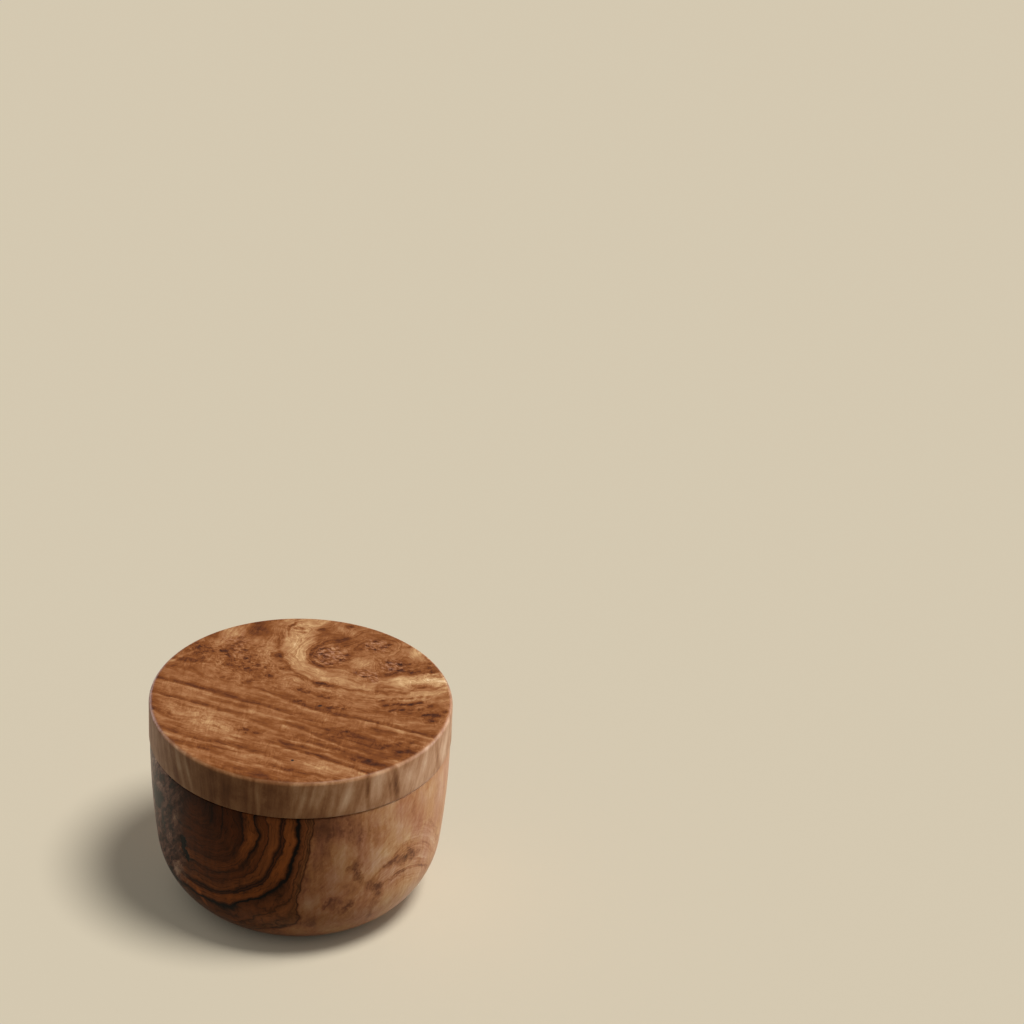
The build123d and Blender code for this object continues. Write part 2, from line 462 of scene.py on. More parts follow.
def growth_line(tree, place, points, reach):
    """The change of tone by a line that follows the points (u, v, strength) and fades over `reach`."""
    uv = add(tree, "ShaderNodeSeparateXYZ", [place]).outputs
    share = add(tree, "ShaderNodeMath", [uv["X"], 0.5 / half_side, 0.5], operation="MULTIPLY_ADD")
    route = [(0.5 + 0.5 * u / half_side, 0.5 + 0.5 * v / half_side) for u, v, strength in points]
    strengths = [(0.5 + 0.5 * u / half_side, strength) for u, v, strength in points]
    height = add(tree, "ShaderNodeFloatCurve", {"Value": share}, path=route)
    strong = add(tree, "ShaderNodeFloatCurve", {"Value": share}, path=strengths)
    line_v = add(tree, "ShaderNodeMath", [height, 2 * half_side, -half_side], operation="MULTIPLY_ADD")
    off = add(tree, "ShaderNodeMath", [uv["Y"], line_v], operation="SUBTRACT")
    off = add(tree, "ShaderNodeMapRange", {"Value": off, "From Min": -pale_edge, "From Max": reach})
    profile = [(-pale_edge, 0.5), (-1.3, 0.62), (-0.5, 0.66), (0.3, 0.25), (1.0, 0.16), (1.9, 0.3)]
    profile += [(reach, 0.5)]
    stops = [((far + pale_edge) / (reach + pale_edge), grey(tone)) for far, tone in profile]
    shade = add(tree, "ShaderNodeValToRGB", [off], stops=stops)
    shade = add(tree, "ShaderNodeMath", [shade, 0.5], operation="SUBTRACT")
    return add(tree, "ShaderNodeMath", [shade, strong], operation="MULTIPLY")


growth_lines = [
    # the reach of its fade, and (u, v, strength) along the line
    (5.0, [(-50, -3.0, 0), (-20, -1.5, 0.2), (-10, -2.2, 0.5), (4, -5.0, 0.8), (14, -5.6, 0.7),
           (30, -4.6, 0.9), (50, -5.0, 1)]),
    (3.6, [(-50, -9.2, 0.7), (-38, -8.8, 0.8), (-28, -9.4, 0.6), (-15, -10.2, 0.4), (0, -10.6, 0.5),
           (15, -8.4, 0.2), (50, -7.5, 0)]),
    (3.8, [(-50, -17.2, 0.7), (-30, -17.8, 0.8), (-18, -18.6, 0.7), (-5, -20.4, 0.6), (10, -23.5, 0.2),
           (50, -27, 0)]),
    (3.6, [(-50, -17, 0), (-6, -17, 0.1), (2, -17.2, 0.6), (10, -18.2, 0.8), (17, -20.2, 0.8),
           (27, -21.2, 0.7), (50, -21.6, 0.8)]),
    (3.0, [(-50, -33, 0), (-12, -31.5, 0.2), (0, -29.4, 0.5), (10, -29.6, 0.9), (20, -30.8, 1),
           (30, -31.6, 1), (50, -34.5, 1)]),
    (2.4, [(-50, -27, 0.9), (-38, -27.6, 0.6), (-28, -30, 0.2), (50, -34, 0)]),
    (3.4, [(-50, -36, 0.3), (-33, -36.2, 0.5), (-20, -36.6, 0.9), (-8, -35.8, 0.8), (6, -36.6, 0.5),
           (20, -38, 0), (50, -38, 0)]),
    (2.6, [(-50, -27, 0), (-2, -26.4, 0.2), (8, -27.6, 0.6), (20, -27.4, 0.7), (30, -27.2, 0.4),
           (50, -27, 0)]),
    (2.6, [(-50, 3.0, 0.8), (-42, 4.4, 0.7), (-34, 7.6, 0.5), (-27, 9.4, 0), (50, 9, 0)]),
    (2.4, [(-50, -13, 0.2), (-20, -13.6, 0.3), (0, -14.0, 0.5), (12, -14.4, 0.3), (50, -15, 0)]),
    (2.4, [(-50, -24, 0), (-10, -23.6, 0.3), (5, -24.4, 0.5), (20, -24.2, 0.5), (30, -24.6, 0),
           (50, -25, 0)]),
    (3.4, [(-50, -42, 0), (-20, -41.5, 0.4), (0, -42.6, 0.6), (18, -41, 0.4), (50, -40, 0)]),
]
wavy = wander(tree, grain, 0.22, (1.0, 2.6, 0.0), Detail=3.0)
lines_bend = add(tree, "ShaderNodeVectorMath", [bend, (0.6, 0.6, 0.0), wavy], operation="MULTIPLY_ADD")
wavy_grain = add(tree, "ShaderNodeVectorMath", [grain, lines_bend], operation="ADD")
drawn = 0.0
for reach, points in growth_lines:
    line = growth_line(tree, wavy_grain, points, reach)
    drawn = add(tree, "ShaderNodeMath", [line, drawn], operation="ADD")
print("lid:", len(growth_lines), "growth lines drawn by hand")

# %% [markdown]
# ### Eyes
# An eye is the end of a small pin of dark wood, with a halo of disturbed lines round it. Most lie
# in nests. The ones that stand out are listed one by one, and where the burl is thick the cells of
# a Voronoi texture scatter small ones between them. Where the burl runs out to the right they turn
# to rows of short dashes. A ragged push keeps any of them from being a clean oval.

# %% Lid wood: eyes and dashes, listed one by one
eye_marks = [
    # u, v, size: first the rosette, then the clusters behind, to the right and in the middle
    (-5.5, 30, 1.0), (-3.5, 31, 0.9), (-1.5, 29.5, 1.2), (0.5, 31.5, 0.9), (2.8, 29.3, 1.6),
    (-4.6, 27, 1.0), (-1.8, 26, 1.0), (0.8, 26.2, 1.1), (3.4, 26.3, 1.2), (-2.4, 23.4, 1.1),
    (0.6, 22.6, 1.3), (-5.6, 24, 0.9), (8, 38.5, 1.4), (9, 41.5, 1.0), (13, 39.8, 1.3), (11, 37, 0.9),
    (14.5, 42, 0.8), (6.6, 35.6, 0.9), (18.5, 31.5, 1.3), (21.8, 32, 1.2), (24, 28.5, 1.3),
    (20.5, 28, 1.0), (25, 33.5, 0.9), (11.2, 21.4, 1.5), (14.7, 20.0, 1.2), (17.6, 19.0, 1.9),
    (20.8, 24.6, 1.2), (13, 23.5, 0.8),
    # in front of them
    (1.4, 9.6, 1.4), (3.5, 10.4, 1.5), (5.5, 10.2, 1.5), (2.4, 8.6, 0.9), (-2.2, 4.2, 1.0),
    (0.3, 3.6, 1.3), (5.8, 3.7, 1.2), (8.0, 3.0, 1.0), (11.4, -1.5, 1.1), (13.2, -1.0, 1.0),
    (15.4, -0.8, 0.8), (0.5, -2.2, 0.7),
    # single ones to the right and behind
    (33.5, 22.2, 1.7), (31.5, 21.6, 1.0), (30.6, 36.5, 1.2), (31.8, 34.5, 1.0), (28, 29, 1.0),
    (33.5, 31.5, 1.1), (37, 30, 0.9), (21, 43.2, 0.9), (-17.5, 38.6, 1.5), (-20, 40.5, 1.1),
    (-16, 36.8, 0.9), (-10.3, 41.4, 1.2), (-2, 47, 1.3), (44.6, 8.1, 1.4), (44.3, 4.2, 1.3),
    (46.6, 11.2, 0.9),
    # the left, and a few in front
    (-17, 20.4, 1.6), (-12.4, 13.6, 1.6), (-14.8, 7.4, 1.6), (-20.3, 0.9, 1.6), (-25.9, 0.5, 1.2),
    (-28.3, 0.6, 1.1), (-29.6, 8.6, 1.1), (-43.6, 14.2, 1.0), (-41.4, 10.6, 1.0), (-45.5, 16, 0.9),
    (-46, 0.4, 1.1), (-30.8, 20.4, 1.2), (-28.6, 18.6, 1.0), (-32, 25.5, 0.9), (-23.4, 8.8, 1.0),
    (-26.2, 14.2, 1.0), (-35.6, 15.4, 0.9), (-9.4, -25.2, 1.5), (-5.0, -25.5, 1.2), (-8, -27, 0.8),
]
dash_marks = [
    (27.5, 6.8), (29.8, 8.4), (32.2, 9.6), (34.6, 11.0), (37.0, 12.8), (28.4, 11.2), (30.8, 12.8),
    (33.2, 14.0), (35.8, 15.8), (38.4, 17.4), (30.6, 5.0), (33.2, 6.4), (35.8, 7.6), (38.6, 9.2),
    (26.0, 9.4), (40.6, 12.4), (41.4, 7.0),
]
faint_marks = [
    (31.6, -24.4), (34.2, -25.8), (37.0, -26.4), (29.6, -26.8), (36.9, -14.7), (39.8, -12.4),
    (44.2, -14.6), (39, -10.2), (43.5, -10.0), (41.6, -16.8), (35.6, -17.2), (19.2, -11.4), (21.8, -12.2),
    (24.4, -11.6), (16.0, -16.4), (18.6, -16.8), (21.4, -16.4),
]
ragged = wander(tree, grain, 0.9, (2, 2, 0), Detail=3.0)
eyes_bend = [tight_bend, (0.15, 0.15, 0.0), ragged]
eyes_bend = add(tree, "ShaderNodeVectorMath", eyes_bend, operation="MULTIPLY_ADD")
eyes_at = add(tree, "ShaderNodeVectorMath", [grain, eyes_bend], operation="ADD")
eye_long, eye_broad = 3.375, 2.125
eyes = [(u, v, eye_long * size, eye_broad * size, 30, 1.0) for u, v, size in eye_marks]
eyes = patches(tree, eyes_at, eyes, strongest=True)
dashes = patches(tree, eyes_at, [(u, v, 2.9, 1.25, 48, 1.0) for u, v in dash_marks], strongest=True)
dashes = add(tree, "ShaderNodeMapRange", {"Value": dashes, "From Min": 0.25, "From Max": 0.75})
faint = patches(tree, eyes_at, [(u, v, 2.4, 1.4, 40, 1.0) for u, v in faint_marks], strongest=True)
print("lid:", len(eye_marks), "eyes,", len(dash_marks) + len(faint_marks), "dashes")

# %% Lid wood: small eyes scattered where the burl is thick
thick_places = [
    (-25, 12, 19, 15, 10, 1.2), (-32, 22, 13, 10, 0, 0.5), (-42, 12, 10, 11, 0, 1.0),
    (-1.5, 27, 9.5, 9.5, 0, 2.0), (10, 39.5, 8, 7, 0, 1.4), (21, 30.5, 8, 7, 0, 1.2),
    (15, 21, 10, 6, 0, 1.2), (33, 31, 11, 11, 0, 0.9), (4, 6, 10, 6, 0, 0.8), (40, -13, 11, 7, 0, 0.5),
    (44, 6, 6, 5, 0, 1.0), (-18, 38, 8, 8, 0, 0.8), (20, -14, 10, 5, 0, 0.6), (-8, -25, 7, 3.5, 0, 0.6),
]
thick_burl = patches(tree, grain, thick_places, most=1.0)
cells_frame = {
    "Vector": eyes_at,
    "Rotation": (0, 0, math.radians(-22)),
    "Scale": (1 / 3.0, 1 / 2.1, 1 / 30),
}
cells = add(tree, "ShaderNodeMapping", cells_frame)
cells = {"Vector": cells, "Scale": 1.0, "Randomness": 0.9}
cells = add(tree, "ShaderNodeTexVoronoi", cells, feature="F1")
luck = add(tree, "ShaderNodeSeparateColor", [cells.outputs["Color"]]).outputs["Red"]
shows = add(tree, "ShaderNodeMapRange", {"Value": luck, "From Min": 0.15, "From Max": 0.6})
scatter = {"Value": cells.outputs["Distance"], "From Min": 0.62, "From Max": 0.0}
scatter = add(tree, "ShaderNodeMapRange", scatter)
for share in (shows, thick_burl):
    scatter = add(tree, "ShaderNodeMath", [scatter, share], operation="MULTIPLY")
halos = add(tree, "ShaderNodeMath", [eyes, scatter], operation="ADD")
field = add(tree, "ShaderNodeMath", [halos, 4.0, field], operation="MULTIPLY_ADD")
print("lid:", len(thick_places), "places of thick burl")

# %% [markdown]
# ### Growth lines and fibre
# The rest of the figure is noise, read in a place made of the distance along the grain, the field
# and the depth. A noise that changes fast across the field and slowly along the grain is a set of
# growth lines: wide ones, fine ones and fibre. Real pores and fibres are about 0.1 mm wide, too
# fine to show, so the finest lines are drawn about 0.4 mm wide. A saw-tooth of the field adds lines
# that start sharp and dark and fade on one side. Clouds, mottles and ripples change the tone freely.


# %% Lid wood: patterns of the figure
def drawn_out(tree, place, sizes, turn=(0, 0, 0), shift=(0, 0, 0), **noise):
    """A noise whose spots have these sizes in millimetres, in a frame turned by `turn`."""
    own = {"Vector": place, "Location": shift, "Rotation": turn, "Scale": sizes}
    own = add(tree, "ShaderNodeMapping", own, vector_type="TEXTURE")
    return add(tree, "ShaderNodeTexNoise", {"Vector": own, "Scale": 1.0, **noise})


lines_at = add(tree, "ShaderNodeCombineXYZ", [grain_at["X"], field, grain_at["Z"]])
wide_lines = drawn_out(tree, lines_at, (30, 4.4, 40), Detail=3.0, Roughness=0.6)
fine_lines = drawn_out(tree, lines_at, (9, 0.75, 30), Detail=3.0, Roughness=0.65)
fibre = drawn_out(tree, lines_at, (4, 0.42, 30), Detail=2.0, Roughness=0.6)
cloud = {"Vector": half_bent, "Scale": 0.11, "Detail": 4.0, "Roughness": 0.6}
cloud = add(tree, "ShaderNodeTexNoise", cloud)
mottle = drawn_out(tree, half_bent, (3.4, 2.4, 20), Detail=4.0, Roughness=0.65)
ripple_turn = (0, 0, math.radians(14))
ripple = drawn_out(tree, half_bent, (1.5, 6, 20), turn=ripple_turn, Detail=3.0, Distortion=1.6)
nest_frame = {
    "Vector": eyes_at,
    "Rotation": (0, 0, math.radians(-25)),
    "Scale": (1 / 1.7, 1 / 1.0, 1 / 20),
}
nest = add(tree, "ShaderNodeMapping", nest_frame)
nest = add(tree, "ShaderNodeTexNoise", {"Vector": nest, "Scale": 1.0, "Detail": 3.0, "Roughness": 0.6})

saw_spacing, saw_wander = 3.3, 2.6
saw_stops = [(0.0, 1), (0.18, 0.55), (0.6, 0.12), (0.93, 0), (1.0, 1)]
saw_bend = drawn_out(tree, lines_at, (30, 6, 40), Detail=2.0)
saw = add(tree, "ShaderNodeMath", [field, 1 / saw_spacing], operation="MULTIPLY")
saw = add(tree, "ShaderNodeMath", [saw_bend, saw_wander, saw], operation="MULTIPLY_ADD")
saw = add(tree, "ShaderNodeMath", [saw], operation="FRACT")
saw = add(tree, "ShaderNodeValToRGB", [saw], stops=[(share, grey(tone)) for share, tone in saw_stops])
saw_there = drawn_out(tree, lines_at, (16, 4, 30), shift=(-48, -28, 0), Detail=1.0)
saw_there = add(tree, "ShaderNodeMapRange", {"Value": saw_there, "From Min": 0.44, "From Max": 0.62})
saw = add(tree, "ShaderNodeMath", [saw, saw_there], operation="MULTIPLY")
print("lid: saw-tooth lines every", saw_spacing, "mm")

# %% Lid wood: pale and dark places, drawn one by one
places = [
    (-12.5, 29, 6, 17, 14, 0.06), (9, 27, 5, 4, 0, 0.20), (39, 27.5, 11, 4, 42, 0.22),
    (30, 24.5, 9, 3, 25, 0.16), (24, 38, 3, 9, 12, 0.14), (-1, 28.5, 6, 6, 0, 0.16),
    (11, 40, 4, 4, 0, 0.12), (21.5, 30, 3, 3, 0, 0.12), (24, 40, 9, 8, 0, 0.18), (46, 30, 8, 8, 0, 0.12),
    (-20, 42, 6, 9, 20, 0.10), (-37, 27, 6, 5, 0, 0.16), (-41, 19, 5, 4, 0, 0.12),
    (-28, 26, 5, 4, 0, 0.10), (-33, 9, 6, 3, 0, 0.08), (-22.5, 22, 4, 5, 0, 0.10),
    (-21, -26, 17, 10, 0, 0.15), (22, -35.5, 16, 4, 0, 0.14), (-3, -41, 12, 5, 0, 0.10),
    (-30, -13, 15, 3, 0, 0.08), (0, -13, 16, 3, 0, 0.08), (15, -7, 18, 1.6, 0, 0.12),
    (35, -2, 14, 3, 0, 0.08), (5, -23, 20, 2, 0, 0.08), (-5, 45, 6, 5, 0, 0.08),
    (40, 17, 12, 5, 25, 0.16), (20, 3, 10, 7, 30, 0.06), (46, -24, 8, 3, 0, 0.10),
    # the dark ones
    (-1.0, 37.5, 6, 6, 0, -0.30), (-7.6, 25.5, 2.6, 8, 22, -0.26), (-3, 20.2, 5, 2, -25, -0.2),
    (4.6, 30, 2, 5, 10, -0.12), (-2, 19.6, 8, 2.5, -15, -0.16), (-29, 33, 10, 6, -25, -0.20),
    (10, 46, 8, 4, 0, -0.16), (17, 16.5, 9, 3.5, 5, -0.20), (24, 36, 4, 6, 20, -0.10),
    (3.5, 10, 6, 3, 0, -0.08), (35, 5, 14, 5, 10, -0.14), (8, -3.6, 14, 3, 0, -0.18),
    (31, -8.5, 7, 2.0, 0, -0.20), (30, -16, 22, 5, 0, -0.12), (34, -24.6, 14, 4, 0, -0.2),
    (-30, -8.2, 20, 2.0, 0, -0.14), (-8, -25.5, 8, 3.5, 0, -0.12), (-44, -22, 5, 4, 0, -0.16),
    (-18, -38.5, 12, 3, 0, -0.14), (5, -47, 24, 5, 0, -0.26), (14, -40, 5, 3, 0, -0.14),
    (-40, -40, 14, 8, -35, -0.10), (46, 6, 6, 6, 0, -0.16), (45, -15, 8, 6, 0, -0.12),
    (28, -16, 30, 14, 0, -0.09), (24, 2, 16, 4, 20, -0.06), (-45, 13, 6, 12, 10, -0.08),
    (22, 18, 4, 4, 0, -0.16), (-25, 12, 18, 14, 0, -0.07),
]
curly_places = [(-22, -26, 20, 9, -6, 0.55), (-8, -12, 14, 4, -4, 0.3), (12, -42, 22, 5, 4, 0.35)]
ripple_there = {"Value": cloud, "From Min": 0.42, "From Max": 0.62, "To Max": 0.5}
ripple_there = add(tree, "ShaderNodeMapRange", ripple_there)
curls_there = patches(tree, half_bent, curly_places)
ripple_there = add(tree, "ShaderNodeMath", [ripple_there, curls_there], operation="MAXIMUM")
print("lid:", len(places), "pale and dark places")

# %% [markdown]
# ### The top's tone
# All parts of the figure add up to one number, the tone, from dark to pale. Each pattern counts by
# its distance from its middle, so it darkens and lightens alike, and the burl shows its fine lines
# and fibre more than the straight wood does. Eyes, dashes and saw-tooth lines only darken.


# %% Lid wood: the top's tone
def add_up(tree, tone, patterns):
    """The tone, plus each pattern's distance from its middle times its weight."""
    for pattern, middle, weight in patterns:
        if middle:
            pattern = add(tree, "ShaderNodeMath", [pattern, middle], operation="SUBTRACT")
        tone = add(tree, "ShaderNodeMath", [pattern, weight, tone], operation="MULTIPLY_ADD")
    return tone


middle_tone = 0.48
fine_weight = add(tree, "ShaderNodeMapRange", {"Value": burl, "To Min": 0.28, "To Max": 0.5})
fibre_weight = add(tree, "ShaderNodeMapRange", {"Value": burl, "To Min": 0.16, "To Max": 0.34})
mottle_weight = add(tree, "ShaderNodeMapRange", {"Value": burl, "To Min": 0.50, "To Max": 0.48})
eye_core = add(tree, "ShaderNodeMapRange", {"Value": eyes, "From Min": 0.56, "From Max": 0.86})
eye_shade = add(tree, "ShaderNodeMapRange", {"Value": eyes, "From Min": 0.0, "From Max": 0.8})
scatter_core = add(tree, "ShaderNodeMapRange", {"Value": scatter, "From Min": 0.35, "From Max": 0.75})
top_patterns = [
    # pattern, middle, weight
    (wide_lines, 0.5, 0.50),
    (fine_lines, 0.5, fine_weight),
    (fibre, 0.5, fibre_weight),
    (cloud, 0.5, 0.30),
    (mottle, 0.5, mottle_weight),
    (ripple, 0.5, ripple_there),
    (nest, 0.53, thick_burl),
    (band, 0, 0.74),
    (drawn, 0, 0.70),
    (saw, 0, -0.13),
    (eye_core, 0, -0.16),
    (eye_shade, 0, -0.06),
    (dashes, 0, -0.25),
    (faint, 0, -0.18),
    (scatter_core, 0, -0.11),
    (scatter, 0, -0.06),
]
top_tone = add_up(tree, patches(tree, half_bent, places, middle_tone), top_patterns)
print("lid: patterns in the top's tone:", len(top_patterns))

# %% [markdown]
# ### The lid's side
# The side shows the burl's pins from the side, as upright streaks that fan out a little towards the
# top. For the fan, the wood is turned about the axis by more, the farther from one azimuth and the
# deeper below the top. The streaks that stand out are placed on the side as if it were rolled flat.
# Two wide marks among them are painted light and painted shade: the side is paler to the right and
# darker at the front.


# %% Lid wood: the side
def from_axis(tree, place):
    """The distance from the axis of the turned part."""
    level = add(tree, "ShaderNodeVectorMath", [place, (1, 1, 0)], operation="MULTIPLY")
    return add(tree, "ShaderNodeVectorMath", [level], operation="LENGTH").outputs["Value"]


def unroll(tree, place):
    """A round wall rolled out flat: X is the azimuth in degrees from the front, Y the old Z."""
    at = add(tree, "ShaderNodeSeparateXYZ", [place]).outputs
    ahead = add(tree, "ShaderNodeMath", [at["Y"], -1.0], operation="MULTIPLY")
    azimuth = add(tree, "ShaderNodeMath", [at["X"], ahead], operation="ARCTAN2")
    azimuth = add(tree, "ShaderNodeMath", [azimuth, 180 / math.pi], operation="MULTIPLY")
    return add(tree, "ShaderNodeCombineXYZ", [azimuth, at["Z"], 0.0])


# At the lid's edge the fan turns the wood by 0.009 radians for each millimetre of depth.
fan_azimuth, fan = math.radians(-15), 0.009 / lid_radius
fan_frame = {"Vector": grain, "Angle": -grain_turn - fan_azimuth}
from_fan = add(tree, "ShaderNodeVectorRotate", fan_frame, rotation_type="Z_AXIS")
from_fan = add(tree, "ShaderNodeSeparateXYZ", [from_fan]).outputs
twist = add(tree, "ShaderNodeMath", [from_fan["X"], from_fan["Z"]], operation="MULTIPLY")
twist = add(tree, "ShaderNodeMath", [twist, fan], operation="MULTIPLY")
fanned = add(tree, "ShaderNodeVectorRotate", {"Vector": grain, "Angle": twist}, rotation_type="Z_AXIS")
streaks = add(tree, "ShaderNodeVectorMath", [bend, (0.3, 0.3, 0.3), fanned], operation="MULTIPLY_ADD")
streaks = drawn_out(tree, streaks, (4.5, 4.5, 45), Detail=6.0, Roughness=0.66)
soft_cloud = add(tree, "ShaderNodeTexNoise", {"Vector": grain, "Scale": 0.13, "Detail": 3.0})

side_marks = [
    # azimuth in degrees from the view's middle, and depth below the top
    (-47, 7, 2.2, 11, -22, 0.30), (-42, 7, 1.3, 10, -20, 0.28), (-28, 5, 9, 8, 0, -0.10),
    (-11.5, 7, 1.2, 10, -4, 0.24), (-20, 8, 8, 7, 0, -0.08), (-4, 5, 6, 9, 0, -0.16),
    (5, 8, 2.0, 9, 20, 0.26), (8.5, 6, 1.2, 9, 20, 0.18), (12, 5, 2.4, 9, 16, 0.20),
    (16, 8, 2.0, 8, 16, 0.16), (21, 7, 2.6, 8, 18, 0.20), (30, 6, 1.4, 12, 0, -0.30),
    (26, 7, 3, 8, 0, -0.10), (35, 7, 4, 8, 0, 0.14), (42, 7, 2.2, 12, -8, -0.36),
    # The two wide marks at 62 and -15 degrees are painted light and painted shade: they make the side
    # paler towards the lit right and darker at the front.
    (39.5, 8, 1.0, 10, -10, -0.16), (62, 7, 40, 30, 0, 0.10), (-15, 7, 34, 24, 0, -0.14),
    (50, 7, 6, 7, 0, 0.10), (58, 7, 2, 8, 20, 0.14), (67, 7, 2.2, 12, -14, -0.22), (74, 7, 5, 8, 0, 0.10),
    (-60, 8, 8, 8, 0, -0.05), (-70, 6, 3, 9, -20, 0.14),
]
facing = {"Vector": half_bent, "Angle": -grain_turn}
facing = add(tree, "ShaderNodeVectorRotate", facing, rotation_type="Z_AXIS")
side_tone = patches(tree, unroll(tree, facing), side_marks, 0.53)
side_tone = add_up(tree, side_tone, [(streaks, 0.5, 0.7), (soft_cloud, 0.5, 0.4), (nest, 0.5, 0.22)])
side = {"Value": from_axis(tree, grain), "From Min": lid_radius - 1.1, "From Max": lid_radius - 0.3}
side = add(tree, "ShaderNodeMapRange", side, interpolation_type="SMOOTHSTEP")
tone = add(tree, "ShaderNodeMix", [side, top_tone, side_tone], data_type="FLOAT")
print("lid:", len(side_marks), "streaks placed on the side")

# %% [markdown]
# ### The lid's colours and finish
# One colour ramp turns the tone to the browns of oiled olive wood, so that every mark has a colour
# that belongs to the wood. Inside the nests the wood is greyer and pinker, and so is the side,
# which shows more of the wood's ends. Oil darkens and warms the wood and leaves a soft, broad
# sheen, a little sharper where the wood is pale and dense. The pores are drawn 0.25 mm wide, a few
# times too coarse, so that the bump shows at all.


# %% Lid wood: colours and finish
def oiled(tree, colour, height, spread, gloss):
    """Oil in the wood: a soft sheen without a film, over pores and fibre that can just be felt."""
    relief = add(tree, "ShaderNodeBump", {"Height": height, "Strength": 0.35, "Distance": 0.12 * mm})
    oil = {"Base Color": colour, "Roughness": spread, "Normal": relief}
    oil |= {"IOR": 1.47, "Specular IOR Level": gloss}
    shader = add(tree, "ShaderNodeBsdfPrincipled", oil)
    add(tree, "ShaderNodeOutputMaterial", {"Surface": shader})


browns = [
    (0.0, "#2A1003"), (0.18, "#582907"), (0.36, "#7A4318"), (0.52, "#955F36"), (0.68, "#AE7E51"),
    (0.84, "#C99D6B"), (1.0, "#E4C498"),
]
side_browns = [
    (0.0, "#2A1308"), (0.18, "#563016"), (0.36, "#7E502E"), (0.52, "#9F6F48"), (0.68, "#BA8D66"),
    (0.84, "#D0AA84"), (1.0, "#E4CAA8"),
]
nests = [
    (-1.2, 27.5, 6.5, 7, 0, 2.0), (10.5, 39.5, 5, 5, 0, 1.6), (20.5, 30, 5, 5, 0, 1.6),
    (14.5, 22, 6, 3.5, 0, 1.4), (17.5, 19.5, 3, 2.4, 0, 1.6), (-34, 24, 7, 7, 0, 0.7),
    (-29, 16, 6, 5, 0, 0.4),
]
pin_knots = [(12.2, -35.1, 0.75, 0.75, 0, 1.6), (7.7, -2.3, 1.2, 0.7, 40, 1.6)]

stops = [(share, linear(brown)) for share, brown in browns]
colour = add(tree, "ShaderNodeValToRGB", [top_tone], stops=stops)
nest_pale = {"Value": nest, "From Min": 0.5, "From Max": 0.68, "To Max": 0.55}
nest_pale = add(tree, "ShaderNodeMapRange", nest_pale)
pinkish = [nest_pale, patches(tree, grain, nests, most=1.0)]
pinkish = add(tree, "ShaderNodeMath", pinkish, operation="MULTIPLY")
colour = add(tree, "ShaderNodeMix", [pinkish, colour, linear("#B98A70")], data_type="RGBA")
stops = [(share, linear(brown)) for share, brown in side_browns]
side_colour = add(tree, "ShaderNodeValToRGB", [side_tone], stops=stops)
colour = add(tree, "ShaderNodeMix", [side, colour, side_colour], data_type="RGBA")
# Two pin knots: tiny, nearly black.
pins = patches(tree, grain, pin_knots)
pins = add(tree, "ShaderNodeMapRange", {"Value": pins, "From Min": 0.2, "From Max": 0.9})
colour = add(tree, "ShaderNodeMix", [pins, colour, linear("#17171A")], data_type="RGBA")

pores = drawn_out(tree, grain, (1.2, 0.25, 1.2), Detail=2.0)
height = add(tree, "ShaderNodeMath", [pores, 0.6, mottle], operation="MULTIPLY_ADD")
spread = {"Value": tone, "From Min": 0.2, "From Max": 0.9, "To Min": 0.52, "To Max": 0.40}
spread = add(tree, "ShaderNodeMapRange", spread)
oiled(tree, colour, height, spread, gloss=0.18)
print("lid wood:", len(tree.nodes), "nodes")

# %% [markdown]
# ## The bowl: figured olive heartwood
# The bowl shows where the tree's heart came out. Dark veins run down the wall, turn a corner and
# run off to the left, like the letter J, with orange-brown between them. Left of them the wood is
# dark and torn, with a crack; right of them it is paler and cloudy, with arched lines. The veins
# need a growth field whose lines have that J shape: the larger of two straight fields, one for the
# upright part and one for the sloping part, with the corner rounded. It is worked out in a frame
# that faces the heart, so the veins run on through the wall and show inside the hollow too. Left of
# the heart's middle the field is mirrored, so that at the back the veins close in nested U shapes.

# %% Bowl wood: its frame and how it wanders
bowl_wood, tree = new_finish("oiled_figured_olive")
body = add(tree, "ShaderNodeTexCoord").outputs["Object"]
wood = {"Vector": body, "Rotation": (0, 0, turn_to_view), "Scale": (1 / mm, 1 / mm, 1 / mm)}
wood = add(tree, "ShaderNodeMapping", wood)
slow_bend = wander(tree, wood, 0.045, (3, 3, 3), Detail=2.0)
quick_bend = wander(tree, wood, 0.16, (3.2, 3.2, 3.2), Detail=3.0, Roughness=0.5)
bend = add(tree, "ShaderNodeVectorMath", [slow_bend, quick_bend], operation="ADD")
bent = add(tree, "ShaderNodeVectorMath", [wood, bend], operation="ADD")

# The heart's frame: across is to the right of it, up is the height, both in millimetres.
heart_azimuth, heart_middle = math.radians(-31), -7.0
heart_frame = {"Vector": bent, "Rotation": (0, 0, heart_azimuth)}
heart_frame = add(tree, "ShaderNodeMapping", heart_frame, vector_type="TEXTURE")
heart_at = add(tree, "ShaderNodeSeparateXYZ", [heart_frame]).outputs
across, deep_in, up = heart_at["X"], heart_at["Y"], heart_at["Z"]
print("bowl: the heart faces", round(math.degrees(heart_azimuth)), "degrees from the view's middle")

# %% Bowl wood: the growth field
main_vein, spread_out = 28.6, 0.22
slope_up, level_round = -0.87, 6.0
other_side = add(tree, "ShaderNodeMath", [2 * heart_middle, across], operation="SUBTRACT")
from_middle = add(tree, "ShaderNodeMath", [across, other_side], operation="MAXIMUM")
# Below a height of 48 mm the lines lean outwards, by 4.3 mm from 29 mm down.
lean = add(tree, "ShaderNodeMapRange", {"Value": up, "From Min": 48.0, "From Max": 29.0, "To Max": 4.3})
leaning = add(tree, "ShaderNodeMath", [from_middle, lean], operation="ADD")


